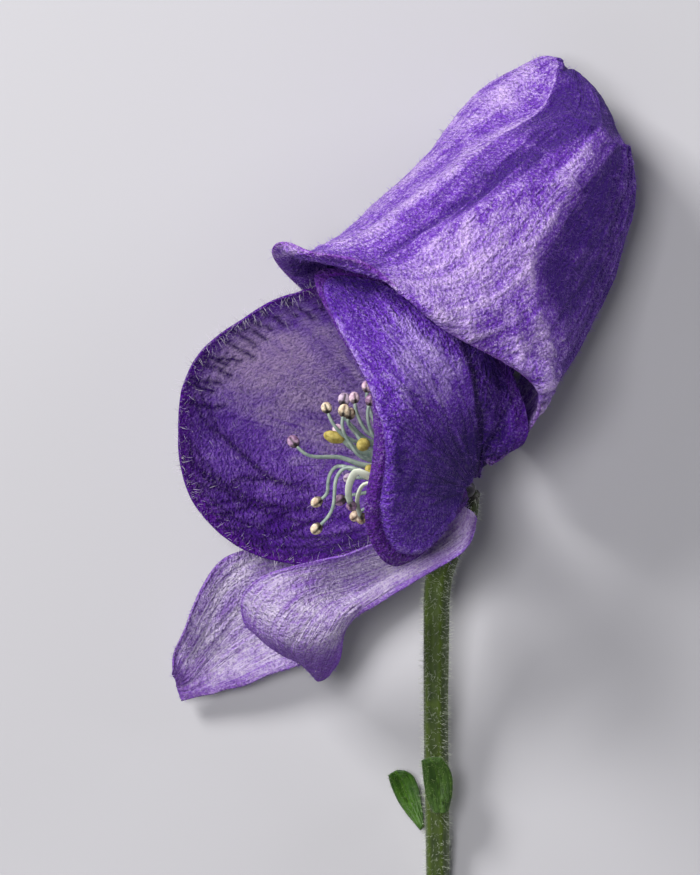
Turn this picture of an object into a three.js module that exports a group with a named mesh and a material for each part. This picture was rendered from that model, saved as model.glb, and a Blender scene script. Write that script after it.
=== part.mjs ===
import * as THREE from 'three';

// Monkshood flower, picked, with its stalk and two small bracts, lying on its side.
//
// Lengths are millimetres. Every control point is measured from the heart of the flower, the
// middle of the receptacle. The flower lies on its far side, so +Z is up and away from the
// surface it rests on. +Y runs along the stalk towards the flower, and the mouth opens to -X.
// "Near" pieces are on the upper side as it lies, "far" pieces on the side that it rests on.
// At the end everything is shifted, so that the origin is the middle of the underside.

// ---- driving dimensions ----

const HOOD_THICKNESS = 0.4;
const SEPAL_THICKNESS = 0.36;
const BRACT_THICKNESS = 0.5;

const BUNDLE_AXIS = new THREE.Vector3(-0.82, 0.25, 0.515).normalize();
const BUNDLE_START = 2.5;

const FILAMENT_BASE_RADIUS = 0.24;
const FILAMENT_TIP_RADIUS = 0.15;
const ANTHER_LENGTH = 0.9;
const ANTHER_RADIUS = 0.42;

const CARPEL_COUNT = 3;
const CARPEL_LENGTH = 5.2;
const CARPEL_RADIUS = 0.36;
const CARPEL_RING = 0.46;
const CARPEL_FIRST_TURN = 80;

// How finely each surface is stepped: points along and across a sheet, stations along a round
// body and sides around it.
const HOOD_STEPS = [30, 23];
const LATERAL_STEPS = [11, 27];
const LOWER_STEPS = [10, 18];
const BRACT_STEPS = [6, 9];
const STALK_STATIONS = 26;
const STALK_SIDES = 12;
const FILAMENT_STATIONS = 9;
const STAMEN_SIDES = 7;
const CARPEL_STATIONS = 9;
const CARPEL_SIDES = 8;
const NECTARY_STATIONS = 28;
const NECTARY_SIDES = 9;
const RECEPTACLE_SIDES = 20;

// ---- control points of the sepals ----

// The hood: closed rings from the lip to the crown. Each starts on the keel, goes over the
// near side to the back, and returns under the far side.
const HOOD_RINGS = [
  // curled lip, beak first
  [
    [-12.7, 16.9, 10.4], [-10.7, 16.1, 12.1], [-7, 15.3, 12.9], [-2.5, 12.3, 12.2], [2, 9.7, 9.4],
    [4.9, 6.5, 5.8], [1.7, 1.9, -1.3], [1.7, 4.1, -5.8], [-1.4, 6.2, -8], [-5.4, 9.2, -7.2],
    [-9.5, 12.3, -3.4], [-13.5, 15.8, 6.8]
  ],
  // fold of the rim
  [
    [-12.2, 16, 9.8], [-10, 15.6, 11.2], [-6.7, 14.6, 11.9], [-2.5, 12.1, 11.5], [1.8, 9.6, 8.8],
    [4.8, 6.7, 5.4], [1.8, 2.3, -1.6], [2, 4.5, -5.6], [-1.1, 6.7, -7.6], [-4.9, 9.8, -6.8],
    [-8.8, 12.8, -3.2], [-11.8, 15.5, 5.4]
  ],
  // above the cheeks
  [
    [-8.7, 16.7, 7.3], [-6, 16.3, 9], [-2.4, 14.9, 10], [1.1, 13, 9.4], [3.9, 10.8, 7.3],
    [5.7, 8.5, 2.4], [4.3, 5.8, -3], [2.4, 8.2, -7.4], [-2.2, 11.4, -8.2], [-6.3, 14.6, -6.4],
    [-8.7, 16.5, -2], [-9.2, 17.3, 3.4]
  ],
  // lower helmet
  [
    [-5, 19.2, 5.1], [-2.4, 18.9, 7.7], [1.1, 17.9, 8.5], [4.4, 16.5, 7.1], [6.8, 14.4, 4.3],
    [8.2, 12.7, -0.2], [7.7, 11, -4.4], [5.1, 12.8, -7.9], [1, 15.5, -8.7], [-2.7, 17.7, -7.2],
    [-5.3, 19.4, -3.4], [-6, 20.2, 1.2]
  ],
  // middle of the helmet
  [
    [-1.7, 22.1, 3.3], [0.9, 21.9, 5.7], [3.9, 21, 6.5], [6.8, 19.7, 5.1], [9, 18.2, 2.2],
    [10.2, 17.4, -1.6], [10, 16.2, -5.1], [7.4, 17.9, -8.1], [3.6, 19.8, -9], [0, 21.7, -7.9],
    [-2.2, 23.2, -4.4], [-2.7, 23.4, -0.4]
  ],
  // upper helmet
  [
    [2.4, 24.9, 1], [4.6, 24.8, 3.1], [6.9, 24, 3.7], [9.1, 22.9, 2.4], [10.5, 21.9, -0.2],
    [11.2, 21.2, -2.8], [11, 20.4, -5.2], [9.1, 21.8, -7.8], [6, 24, -8.9], [2.7, 26.1, -8.2],
    [0.7, 27.4, -5.4], [0.5, 27.2, -2]
  ],
  // shoulder of the crown
  [
    [5.6, 27.1, -0.9], [7, 26.8, 0.6], [8.5, 26.2, 0.9], [9.7, 25.3, 0], [10.4, 24.6, -1.4],
    [10.7, 24, -3.1], [10.5, 23.6, -4.8], [9.4, 25, -6.8], [7.6, 27, -7.5], [5.4, 28.7, -7],
    [4.1, 29.6, -5.2], [4, 29.5, -3]
  ],
  // crown
  [
    [6.4, 29.1, -1.9], [7.3, 29.2, -1.4], [8.3, 28.6, -1.4], [9, 27.8, -2], [9.3, 27.2, -2.9],
    [9.3, 26.9, -3.9], [9, 27, -4.8], [8.1, 27.9, -5.6], [7.1, 29, -5.9], [6.3, 29.9, -5.7],
    [5.8, 30.4, -4.8], [5.8, 30.3, -3.4]
  ],
];
const HOOD_POLE = [7.1, 29.5, -3.3];

// A lateral sepal: spokes that fan from its claw at the heart to its margin.
const NEAR_LATERAL = [
  [[0.8, 0.7, 1.4], [1.1, 1.6, 1.8], [1.7, 2, 2.2], [2.6, 2.5, 2.5]],
  [[0.7, 0.9, 1.6], [1.5, 2.3, 2.9], [2.7, 3.4, 3.7], [3.9, 4.4, 3.8]],
  [[0.5, 0.9, 1.8], [1.3, 3.5, 4.1], [1.9, 6.3, 4.8], [2.5, 8.5, 4.2]],
  [[0.4, 0.9, 2], [0.5, 4.2, 5.8], [0.5, 7.7, 7.8], [0.3, 11.5, 7.8]],
  [[0.2, 0.9, 2.1], [-0.7, 4.9, 7.8], [-2.3, 9.5, 10.4], [-4.5, 14.2, 9.2]],
  [[0.1, 0.9, 2.2], [-2.2, 4.9, 10], [-5.6, 9.9, 12.2], [-10.6, 15.2, 8.2]],
  [[-0.1, 0.7, 2.3], [-3, 4.2, 11], [-5.9, 7.4, 13.6], [-9.1, 10.7, 11.2]],
  [[-0.2, 0.4, 2.3], [-3, 2.7, 10.8], [-5.5, 4.2, 14], [-6.9, 5.5, 13]],
  [[-0.3, 0.2, 2.3], [-3, 0.9, 9.8], [-5.5, 1.2, 13.4], [-7.1, 1.4, 13]],
  [[-0.3, -0.1, 2.2], [-2.7, -0.6, 8.2], [-5.3, -1.9, 11.4], [-7.3, -2.5, 11.6]],
  [[-0.2, -0.4, 2], [-1.7, -1.6, 5.9], [-3.6, -3.3, 8.8], [-5.3, -5.1, 9.4]],
  [[-0.1, -0.6, 1.8], [-0.7, -1.3, 3.8], [-1.5, -2, 5.2], [-2.4, -3.4, 6.6]],
];

const FAR_LATERAL = [
  [[-0.4, 0.4, -1.7], [-0.3, 1.7, -3], [-0.5, 2.9, -4.2], [-0.7, 4.2, -4.8]],
  [[-0.5, 0.4, -1.8], [-1.3, 3.5, -5.2], [-2.1, 6.3, -5.2], [-3.1, 9.7, -3.6]],
  [[-0.7, 0.3, -1.9], [-3, 4.6, -6.8], [-5.2, 9.2, -4.6], [-7.6, 13, 0]],
  [[-0.8, 0.2, -2], [-4.4, 4.9, -7.8], [-8.3, 9.9, -4.4], [-11, 14, 3.6]],
  [[-0.9, 0, -2.1], [-5.9, 4.2, -8.4], [-11.4, 8.5, -5.4], [-16.2, 11.8, 1.6]],
  [[-0.9, -0.1, -2.2], [-6.6, 3.1, -8.7], [-13.4, 6.4, -6.2], [-19.5, 8.8, -0.4]],
  [[-0.9, -0.2, -2.2], [-7, 2.1, -8.7], [-14.1, 3.5, -7], [-20.4, 4.2, -2]],
  [[-0.9, -0.4, -2.2], [-6.8, 1, -8.5], [-13.4, 0.3, -7.4], [-20, 0, -3.4]],
  [[-0.8, -0.4, -2.1], [-5.9, -0.2, -8], [-11.3, -2.4, -7.4], [-17, -3.7, -4.4]],
  [[-0.6, -0.5, -2], [-4.5, -1.2, -7.2], [-8, -3.3, -6.8], [-11.8, -5.1, -4.6]],
  [[-0.4, -0.6, -1.9], [-2.7, -1.6, -5], [-4.8, -2.9, -5.8], [-7.3, -4.2, -5]],
  [[-0.5, -0.5, -1.8], [-1.5, -1.1, -2.9], [-2.2, -2, -3.7], [-3.4, -2.7, -4.2]],
];

// A lower sepal: ribs across the blade, from the claw to the tip.
const NEAR_LOWER = [
  [[-0.9, -1, 1.5], [-0.5, -1.1, 1.6], [-0.2, -1.3, 1.7], [0.2, -1.6, 1.8], [0.4, -2, 2]],
  [[-1.6, -1.5, 2.6], [-1, -2, 1.8], [-0.5, -2.6, 1.8], [-0.1, -3, 2.4], [0, -3.4, 3.2]],
  [[-4.2, -2.7, 3], [-3.2, -3.5, 1.4], [-2.3, -4.1, 1], [-1.7, -4.4, 2.2], [-1.6, -4.9, 3.6]],
  [[-7.4, -3.9, 2.4], [-6.4, -5, 0.8], [-5.6, -5.9, 0.4], [-4.9, -6, 1.6], [-4.6, -6.8, 2.2]],
  [[-10.6, -4.9, 1.6], [-9.6, -6.1, 0.4], [-8.5, -7.4, -0.2], [-7.6, -7.7, 1], [-6.9, -8.2, 1]],
  [[-14.1, -5.8, 1], [-12.4, -7, 1.3], [-10.6, -8.2, 1.1], [-9, -8.8, 1.2], [-8.2, -9.2, 0.6]],
  [
    [-16, -7.6, -0.6], [-14.1, -9, 0.6], [-12.1, -10.2, 0.9], [-10.1, -10.7, 0.5],
    [-8.8, -10.4, -0.4]
  ],
  [
    [-15.5, -9.8, -2.6], [-13.9, -10.8, -1.6], [-12.3, -11.5, -1.2], [-10.7, -12, -1.4],
    [-9.2, -12.1, -1.9]
  ],
  [
    [-13, -11.8, -4], [-12.1, -12.4, -3.8], [-11.3, -13, -3.6], [-10.7, -13.6, -3.5],
    [-10.1, -13.1, -3.4]
  ],
];

const FAR_LOWER = [
  [[-1.1, -1.2, -3.5], [-1, -1.4, -3.5], [-0.9, -1.6, -3.5], [-0.8, -1.7, -3.6], [-0.7, -1.9, -3.7]],
  [[-4.4, -3.2, -6.8], [-4.1, -3.6, -6.2], [-3.8, -4.1, -6], [-3.5, -4.5, -5.8], [-3.3, -4.9, -5.8]],
  [[-9.3, -4.8, -7], [-8.7, -5.8, -6.8], [-8.3, -6.7, -6.8], [-8, -7.4, -6.6], [-8, -8.2, -6.4]],
  [
    [-13.3, -4.3, -7], [-12.1, -6.4, -7.2], [-11.3, -8.3, -7.3], [-10.8, -10.1, -7],
    [-10.5, -11.7, -6.4]
  ],
  [
    [-17.1, -4.8, -6.2], [-15.6, -7.6, -7.2], [-14.4, -10.1, -7.7], [-13.6, -11.6, -7.3],
    [-12.8, -12.8, -6.4]
  ],
  [
    [-19.3, -7.7, -5.8], [-18.1, -10.1, -7.2], [-17.2, -11.9, -7.8], [-16.4, -13.1, -7.5],
    [-15.8, -14, -6.8]
  ],
  [
    [-20.9, -11.7, -6.4], [-20.1, -13, -7.4], [-19.5, -13.9, -7.8], [-19, -14.4, -7.6],
    [-18.4, -14.7, -7.2]
  ],
  [
    [-21.1, -13.3, -7], [-20.9, -13.8, -7.3], [-20.8, -14.3, -7.5], [-20.7, -14.7, -7.6],
    [-20.5, -15.2, -7.5]
  ],
];

// ---- control points of the other pieces ----

// The stalk: centre line and radius.
const STALK = [
  [0.5, -1.2, -1.2, 0.75], [-0.3, -2.7, -2, 0.95], [-2, -5.7, -3.1, 0.94], [-2.3, -10, -4.1, 0.9],
  [-2.3, -15.7, -5.5, 0.86], [-2.2, -22.3, -7, 0.84], [-2.1, -29.1, -8.2, 0.82],
];

// The two bracts on the stalk: ribs across the blade.
const NEAR_BRACT = [
  [[-2.5, -22.9, -6], [-1.9, -23.1, -5.8], [-1.4, -22.9, -6]],
  [[-3, -21.7, -5.5], [-2, -21.9, -5.7], [-1.1, -21.6, -5.7]],
  [[-3.2, -20.2, -4.9], [-2.2, -20.3, -5.4], [-1.2, -20.2, -5.4]],
  [[-3.3, -19.3, -4.5], [-2.7, -19.1, -4.7], [-1.9, -19.1, -4.8]],
];
const FAR_BRACT = [
  [[-3.3, -24.5, -7.7], [-3.2, -24.3, -7.6], [-3.1, -24.1, -7.6]],
  [[-4.6, -23, -8.2], [-4.1, -22.7, -8.4], [-3.3, -22.4, -8]],
  [[-5.4, -21.4, -8], [-4.7, -21.1, -8.3], [-3.8, -20.8, -8]],
  [[-5.6, -20.6, -7.6], [-5.1, -20.3, -7.8], [-4.5, -20.3, -7.7]],
];

// A nectary petal: its centre line in the flower's plane of symmetry (forward of the back, up),
// its distance from that plane, and its radius. The claw carries a sac that ends in a curled spur.
const NECTARY = [
  [0.7, 2.6, 0.7, 0.24], [2.4, 6.5, 1, 0.25], [4.8, 11.5, 1.3, 0.27], [6.4, 16, 1.5, 0.32],
  [6.8, 19, 1.6, 0.5], [6, 21.3, 1.7, 1.1], [4.4, 22.2, 1.7, 1.25], [2.9, 21.6, 1.7, 0.95],
  [2.2, 20.3, 1.7, 0.62], [2.7, 19.4, 1.7, 0.45],
];

// The stamens: where each starts on the disc of the receptacle (ring radius, turn in degrees
// from the top, plus is away from the upper side), and the way it takes to its anther.
const STAMENS = [
  { ring: 1.15, turn: 24, way: [[-6.4, 3, 4.4], [-8.5, 3.6, 6.2], [-9.6, 4.7, 6.9], [-10, 5.7, 7.2]] },
  { ring: 1.15, turn: -35, way: [[-6.8, 2.1, 7], [-8.3, 3.1, 8.2], [-8.9, 4.3, 8.9], [-8.8, 5.5, 9.2]] },
  { ring: 1.15, turn: -8, way: [[-6.6, 2.7, 5.6], [-7.9, 3.8, 6.2], [-8.5, 4.6, 6.8], [-8.4, 5.3, 7]] },
  { ring: 1.65, turn: 13, way: [[-6.6, 3.3, 3.2], [-8.1, 4.3, 4.4], [-8.9, 5.3, 4.9], [-8.8, 6.3, 5]] },
  { ring: 1.65, turn: -12, way: [[-6.3, 3.5, 4.6], [-7.6, 4.6, 5.4], [-8, 5.6, 5.7], [-8.1, 6.4, 5.8]] },
  { ring: 1.65, turn: 40, way: [[-5.9, 3.5, 2.6], [-6.8, 5, 3], [-7.2, 6.2, 3.2], [-7.2, 7.2, 3.4]] },
  { ring: 1.65, turn: -38, way: [[-5.9, 3.2, 6.6], [-7, 4.2, 7.8], [-7.2, 5.3, 8.4], [-7, 6.2, 8.8]] },
  { ring: 1.15, turn: 66, way: [[-7.2, 1.7, 2.9], [-9.1, 2.3, 3.7], [-11.1, 2.4, 4.7], [-12.3, 3.4, 5]] },
  { ring: 1.65, turn: 61, way: [[-7.1, 2.6, 1.9], [-8.4, 3.1, 2.9], [-9, 3.6, 3.2], [-9.5, 3.7, 3.4]] },
  { ring: 1.15, turn: -75, way: [[-6.2, 2.3, 8.4], [-6.9, 2.9, 9.6], [-7.5, 3.2, 10.2]] },
  {
    ring: 1.15,
    turn: 120,
    way: [[-7.3, 1.1, 3.5], [-9.2, 1.7, 3.4], [-9.9, 0.7, 3.2], [-10, -0.2, 2.8], [-10.7, -0.8, 2.6]],
  },
  {
    ring: 1.15,
    turn: 165,
    way: [[-7.2, 1.2, 5.6], [-8.7, 1.6, 6], [-9.4, 0.6, 5.8], [-9.6, -1.2, 5.2], [-10.7, -2.6, 4.8]],
  },
  { ring: 1.15, turn: -160, way: [[-6.8, 0.9, 7.4], [-8, 1.3, 8], [-8.5, 0.2, 7.8], [-8.3, -1, 7]] },
  { ring: 1.65, turn: 178, way: [[-6.2, 0.2, 5.8], [-7.4, 0.5, 6.4], [-7.9, -0.6, 6], [-7.6, -1.9, 5]] },
  { ring: 1.65, turn: 87, way: [[-6.7, 2, 1.6], [-8, 2.9, 1], [-8.7, 3.7, 0.8], [-9.2, 4.2, 0.8]] },
];

// Stamens deep in the flower take a plain way: a length along the bundle and a spread off it.
const INNER_STAMENS = [
  { ring: 1.65, turn: -66, length: 5.8, spread: 2.6 },
  { ring: 1.65, turn: -92, length: 6.2, spread: 3.2 },
  { ring: 1.65, turn: -116, length: 6.6, spread: 2.4 },
  { ring: 1.65, turn: -140, length: 6, spread: 2.6 },
  { ring: 1.65, turn: 110, length: 5.4, spread: 1.8 },
  { ring: 1.65, turn: 132, length: 5.8, spread: 2.6 },
  { ring: 1.65, turn: 152, length: 5, spread: 2.6 },
  { ring: 1.15, turn: -118, length: 7, spread: 1 },
  { ring: 1.7, turn: -163, length: 5, spread: 2.5 },
];

// ---- colours ----

const VIOLET = 0x5b2fb4;
const VIOLET_INSIDE = 0x7c58b8;
const LILAC = 0x8f6cc4;
const STALK_GREEN = 0x4f7a26;
const BRACT_GREEN = 0x3f6b1f;
const DISC_GREEN = 0x8a8a3c;
const ANTHER_BROWN = 0x6e5a62;
const CARPEL_GREEN = 0xa6ad2e;
const NECTARY_BLUE = 0x7f74c0;

// ---- building helpers ----

function point([x, y, z]) {
  return new THREE.Vector3(x, y, z);
}

function smoothCurve(points, closed = false) {
  return new THREE.CatmullRomCurve3(points, closed, 'catmullrom', 0.5);
}

function sample(curve, count, closed) {
  const steps = closed ? count : count - 1;
  return Array.from({ length: count }, (_, i) => curve.getPoint(i / steps));
}

// A smooth surface through rows of control points: `along` points in each row, `across` rows.
function surfaceThrough(rows, along, across, closedRows = false) {
  const fineRows = rows.map((row) => sample(smoothCurve(row.map(point), closedRows), along, closedRows));
  const columns = fineRows[0].map((_, j) => {
    const column = fineRows.map((row) => row[j]);
    return sample(smoothCurve(column), across, false);
  });
  return Array.from({ length: across }, (_, i) => columns.map((column) => column[i]));
}

// A closed mesh from vertices and triangles, turned so that its faces point out.
function closedGeometry(vertices, triangles) {
  let volume = 0;
  for (const [a, b, c] of triangles) {
    volume += vertices[a].dot(new THREE.Vector3().crossVectors(vertices[b], vertices[c]));
  }
  const order = volume > 0 ? triangles : triangles.map(([a, b, c]) => [a, c, b]);
  const geometry = new THREE.BufferGeometry().setFromPoints(vertices);
  geometry.setIndex(order.flat());
  geometry.computeVertexNormals();
  return geometry;
}

function surfaceNormal(grid, i, j, closedRows) {
  const rows = grid.length;
  const columns = grid[0].length;
  const left = closedRows ? (j + columns - 1) % columns : Math.max(j - 1, 0);
  const right = closedRows ? (j + 1) % columns : Math.min(j + 1, columns - 1);
  const alongRow = grid[i][right].clone().sub(grid[i][left]);
  const acrossRows = grid[Math.min(i + 1, rows - 1)][j].clone().sub(grid[Math.max(i - 1, 0)][j]);
  return alongRow.cross(acrossRows).normalize();
}

// A blade: a surface given a thickness, half on each side. Rows may be closed rings, and then
// a pole closes the far end, so that the blade is a cup.
function blade(grid, thickness, pole = null) {
  const rows = grid.length;
  const columns = grid[0].length;
  const closedRows = pole !== null;
  const outer = [];
  const inner = [];
  grid.forEach((row, i) => row.forEach((centre, j) => {
    const offset = surfaceNormal(grid, i, j, closedRows).multiplyScalar(thickness / 2);
    outer.push(centre.clone().add(offset));
    inner.push(centre.clone().sub(offset));
  }));
  const vertices = [...outer, ...inner];
  const triangles = [];
  const at = (side, i, j) => side * rows * columns + i * columns + (j % columns);
  const quad = (a, b, c, d) => triangles.push([a, b, c], [a, c, d]);
  const lastColumn = closedRows ? columns : columns - 1;
  for (let i = 0; i < rows - 1; i += 1) {
    for (let j = 0; j < lastColumn; j += 1) {
      quad(at(0, i, j), at(0, i, j + 1), at(0, i + 1, j + 1), at(0, i + 1, j));
      quad(at(1, i, j), at(1, i + 1, j), at(1, i + 1, j + 1), at(1, i, j + 1));
    }
  }
  for (let j = 0; j < lastColumn; j += 1) {
    quad(at(0, 0, j + 1), at(0, 0, j), at(1, 0, j), at(1, 0, j + 1));
    if (!closedRows) {
      quad(at(0, rows - 1, j), at(0, rows - 1, j + 1), at(1, rows - 1, j + 1), at(1, rows - 1, j));
    }
  }
  if (closedRows) {
    const middle = new THREE.Vector3();
    grid[rows - 1].forEach((centre) => middle.add(centre));
    middle.divideScalar(columns);
    const normal = surfaceNormal(grid, rows - 1, 0, true);
    for (let j = 1; j < columns; j += 1) {
      normal.add(surfaceNormal(grid, rows - 1, j, true));
    }
    normal.normalize().multiplyScalar(thickness / 2);
    const outerPole = vertices.push(pole.clone().add(normal)) - 1;
    const innerPole = vertices.push(pole.clone().sub(normal)) - 1;
    for (let j = 0; j < columns; j += 1) {
      triangles.push([at(0, rows - 1, j), at(0, rows - 1, j + 1), outerPole]);
      triangles.push([at(1, rows - 1, j + 1), at(1, rows - 1, j), innerPole]);
    }
  } else {
    for (let i = 0; i < rows - 1; i += 1) {
      quad(at(0, i, 0), at(0, i + 1, 0), at(1, i + 1, 0), at(1, i, 0));
      const end = columns - 1;
      quad(at(0, i + 1, end), at(0, i, end), at(1, i, end), at(1, i + 1, end));
    }
  }
  return closedGeometry(vertices, triangles);
}

// A round body along a centre line: `stations` are { centre, tangent, radius }.
function roundBody(stations, sides) {
  const vertices = [];
  const triangles = [];
  const across = new THREE.Vector3(0, 0, 1);
  stations.forEach(({ centre, tangent, radius }, i) => {
    across.addScaledVector(tangent, -across.dot(tangent)).normalize();
    const up = new THREE.Vector3().crossVectors(tangent, across);
    for (let j = 0; j < sides; j += 1) {
      const angle = (j / sides) * 2 * Math.PI;
      vertices.push(centre.clone()
        .addScaledVector(across, radius * Math.cos(angle))
        .addScaledVector(up, radius * Math.sin(angle)));
      if (i > 0) {
        const next = (j + 1) % sides;
        const [a, b] = [(i - 1) * sides + j, (i - 1) * sides + next];
        triangles.push([a, b, b + sides], [a, b + sides, a + sides]);
      }
    }
  });
  const last = stations.length - 1;
  const start = vertices.push(stations[0].centre.clone()) - 1;
  const end = vertices.push(stations[last].centre.clone()) - 1;
  for (let j = 0; j < sides; j += 1) {
    const next = (j + 1) % sides;
    triangles.push([start, next, j]);
    triangles.push([end, last * sides + j, last * sides + next]);
  }
  return closedGeometry(vertices, triangles);
}

// Stations along a smooth curve, with a radius that depends on the share of the length.
function stationsAlong(points, count, radiusAt, share = 1) {
  const curve = smoothCurve(points);
  return Array.from({ length: count }, (_, i) => {
    const t = (i / (count - 1)) * share;
    return { centre: curve.getPointAt(t), tangent: curve.getTangentAt(t), radius: radiusAt(t) };
  });
}

// A radius that follows a list of radii, straight between them.
function radiusFrom(radii) {
  return (t) => {
    const place = t * (radii.length - 1);
    const i = Math.min(Math.floor(place), radii.length - 2);
    return THREE.MathUtils.lerp(radii[i], radii[i + 1], place - i);
  };
}

const flower = new THREE.Group();

function add(name, geometry, color, roughness = 0.75) {
  const material = new THREE.MeshStandardMaterial({ color, roughness, metalness: 0 });
  const mesh = new THREE.Mesh(geometry, material);
  mesh.name = name;
  flower.add(mesh);
  return mesh;
}

// ---- sepals ----

function buildHood() {
  const rings = HOOD_RINGS;
  const crown = rings[0].map(() => HOOD_POLE);
  const grid = surfaceThrough([...rings, crown], ...HOOD_STEPS, true).slice(0, -1);
  add('hood', blade(grid, HOOD_THICKNESS, point(HOOD_POLE)), VIOLET);
}

function buildLateral(name, spokes, color) {
  add(name, blade(surfaceThrough(spokes, ...LATERAL_STEPS), SEPAL_THICKNESS), color);
}

function buildLower(name, ribs, color) {
  add(name, blade(surfaceThrough(ribs, ...LOWER_STEPS), SEPAL_THICKNESS), color);
}

// ---- stalk, bracts and receptacle ----

function buildStalk() {
  const radii = STALK.map(([, , , radius]) => radius);
  const stations = stationsAlong(STALK.map(point), STALK_STATIONS, radiusFrom(radii));
  add('stalk', roundBody(stations, STALK_SIDES), STALK_GREEN);
}

function buildBract(name, ribs) {
  add(name, blade(surfaceThrough(ribs, ...BRACT_STEPS), BRACT_THICKNESS), BRACT_GREEN);
}

// The receptacle widens from the stalk to the disc that carries the stamens and carpels.
function buildReceptacle() {
  const profile = [
    [0, -1], [0.55, -0.95], [0.9, -0.5], [1, 0.2], [1.1, 1.2],
    [1.45, 1.9], [1.9, 2.25], [1.85, 2.4], [0, 2.45],
  ];
  const outline = profile.map(([r, h]) => new THREE.Vector2(r, h));
  const geometry = new THREE.LatheGeometry(outline, RECEPTACLE_SIDES);
  const mesh = add('receptacle', geometry, DISC_GREEN);
  mesh.quaternion.setFromUnitVectors(new THREE.Vector3(0, 1, 0), BUNDLE_AXIS);
}

// ---- the parts inside ----

const BUNDLE_UP = new THREE.Vector3(0, 1, 0).addScaledVector(BUNDLE_AXIS, -BUNDLE_AXIS.y).normalize();
const BUNDLE_SIDE = new THREE.Vector3().crossVectors(BUNDLE_AXIS, BUNDLE_UP);

function bundleSpoke(turn) {
  const angle = THREE.MathUtils.degToRad(turn);
  return BUNDLE_UP.clone().multiplyScalar(Math.cos(angle)).addScaledVector(BUNDLE_SIDE, Math.sin(angle));
}

function bundlePoint(spoke, along, off) {
  return spoke.clone().multiplyScalar(off).addScaledVector(BUNDLE_AXIS, along);
}

// A filament that tapers from its base and ends in an anther.
function stamenGeometry(points) {
  const length = smoothCurve(points).getLength();
  const neck = 1 - (ANTHER_LENGTH / 2) / length;
  const taper = (t) => THREE.MathUtils.lerp(FILAMENT_BASE_RADIUS, FILAMENT_TIP_RADIUS, t);
  const filament = stationsAlong(points, FILAMENT_STATIONS, taper, neck);
  const { tangent } = filament[filament.length - 1];
  const tip = points[points.length - 1];
  const anther = [[-0.4, 0.7], [-0.15, 1], [0.15, 1], [0.4, 0.7], [0.5, 0.3]].map(([place, width]) => ({
    centre: tip.clone().addScaledVector(tangent, place * ANTHER_LENGTH),
    tangent,
    radius: width * ANTHER_RADIUS,
  }));
  return roundBody([...filament, ...anther], STAMEN_SIDES);
}

function buildStamens() {
  const ways = STAMENS.map(({ ring, turn, way }) => {
    const spoke = bundleSpoke(turn);
    return [
      bundlePoint(spoke, BUNDLE_START, ring),
      bundlePoint(spoke, BUNDLE_START + 2, ring + 0.15),
      ...way.map(point),
    ];
  });
  const innerWays = INNER_STAMENS.map(({ ring, turn, length, spread }) => {
    const spoke = bundleSpoke(turn);
    return [
      bundlePoint(spoke, BUNDLE_START, ring),
      bundlePoint(spoke, BUNDLE_START + 2, ring + 0.15),
      bundlePoint(spoke, BUNDLE_START + 0.62 * length, ring + 0.3 * spread),
      bundlePoint(spoke, BUNDLE_START + 0.9 * length, ring + 0.7 * spread),
      bundlePoint(spoke, BUNDLE_START + length, ring + spread),
    ];
  });
  [...ways, ...innerWays].forEach((points, i) => {
    add(`stamen_${String(i + 1).padStart(2, '0')}`, stamenGeometry(points), ANTHER_BROWN);
  });
}

function buildCarpels() {
  for (let i = 0; i < CARPEL_COUNT; i += 1) {
    const spoke = bundleSpoke(CARPEL_FIRST_TURN + (i * 360) / CARPEL_COUNT);
    const points = [
      bundlePoint(spoke, BUNDLE_START, CARPEL_RING),
      bundlePoint(spoke, BUNDLE_START + 0.4 * CARPEL_LENGTH, CARPEL_RING + 0.05),
      bundlePoint(spoke, BUNDLE_START + 0.75 * CARPEL_LENGTH, CARPEL_RING + 0.1),
      bundlePoint(spoke, BUNDLE_START + CARPEL_LENGTH, CARPEL_RING + 0.2),
    ];
    const radius = (t) => CARPEL_RADIUS * (1 - 0.6 * t);
    const stations = stationsAlong(points, CARPEL_STATIONS, radius);
    add(`carpel_${i + 1}`, roundBody(stations, CARPEL_SIDES), CARPEL_GREEN);
  }
}

// Both nectaries are the same shape, mirrored in the flower's plane of symmetry.
function buildNectary(name, side) {
  const forward = new THREE.Vector3(0.84, 0, -0.54);
  const up = new THREE.Vector3(0, 0.995, 0.1);
  const sideways = new THREE.Vector3(0.54, -0.05, 0.84);
  const points = NECTARY.map(([p, q, away]) => new THREE.Vector3()
    .addScaledVector(forward, p)
    .addScaledVector(up, q)
    .addScaledVector(sideways, side * away));
  const radii = NECTARY.map(([, , , radius]) => radius);
  const curve = smoothCurve(points);
  const stations = Array.from({ length: NECTARY_STATIONS }, (_, i) => {
    const t = i / (NECTARY_STATIONS - 1);
    return { centre: curve.getPoint(t), tangent: curve.getTangent(t), radius: radiusFrom(radii)(t) };
  });
  add(name, roundBody(stations, NECTARY_SIDES), NECTARY_BLUE);
}

buildHood();
buildLateral('near_lateral_sepal', NEAR_LATERAL, VIOLET);
buildLateral('far_lateral_sepal', FAR_LATERAL, VIOLET_INSIDE);
buildLower('near_lower_sepal', NEAR_LOWER, LILAC);
buildLower('far_lower_sepal', FAR_LOWER, LILAC);
buildStalk();
buildBract('near_bract', NEAR_BRACT);
buildBract('far_bract', FAR_BRACT);
buildReceptacle();
buildStamens();
buildCarpels();
buildNectary('near_nectary', 1);
buildNectary('far_nectary', -1);

// ---- the part's own origin: the middle of the underside ----

const part = new THREE.Group();
part.add(flower);
const bounds = new THREE.Box3().setFromObject(part, true);
const middle = bounds.getCenter(new THREE.Vector3());
flower.position.set(-middle.x, -middle.y, -bounds.min.z);

export default part;
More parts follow.
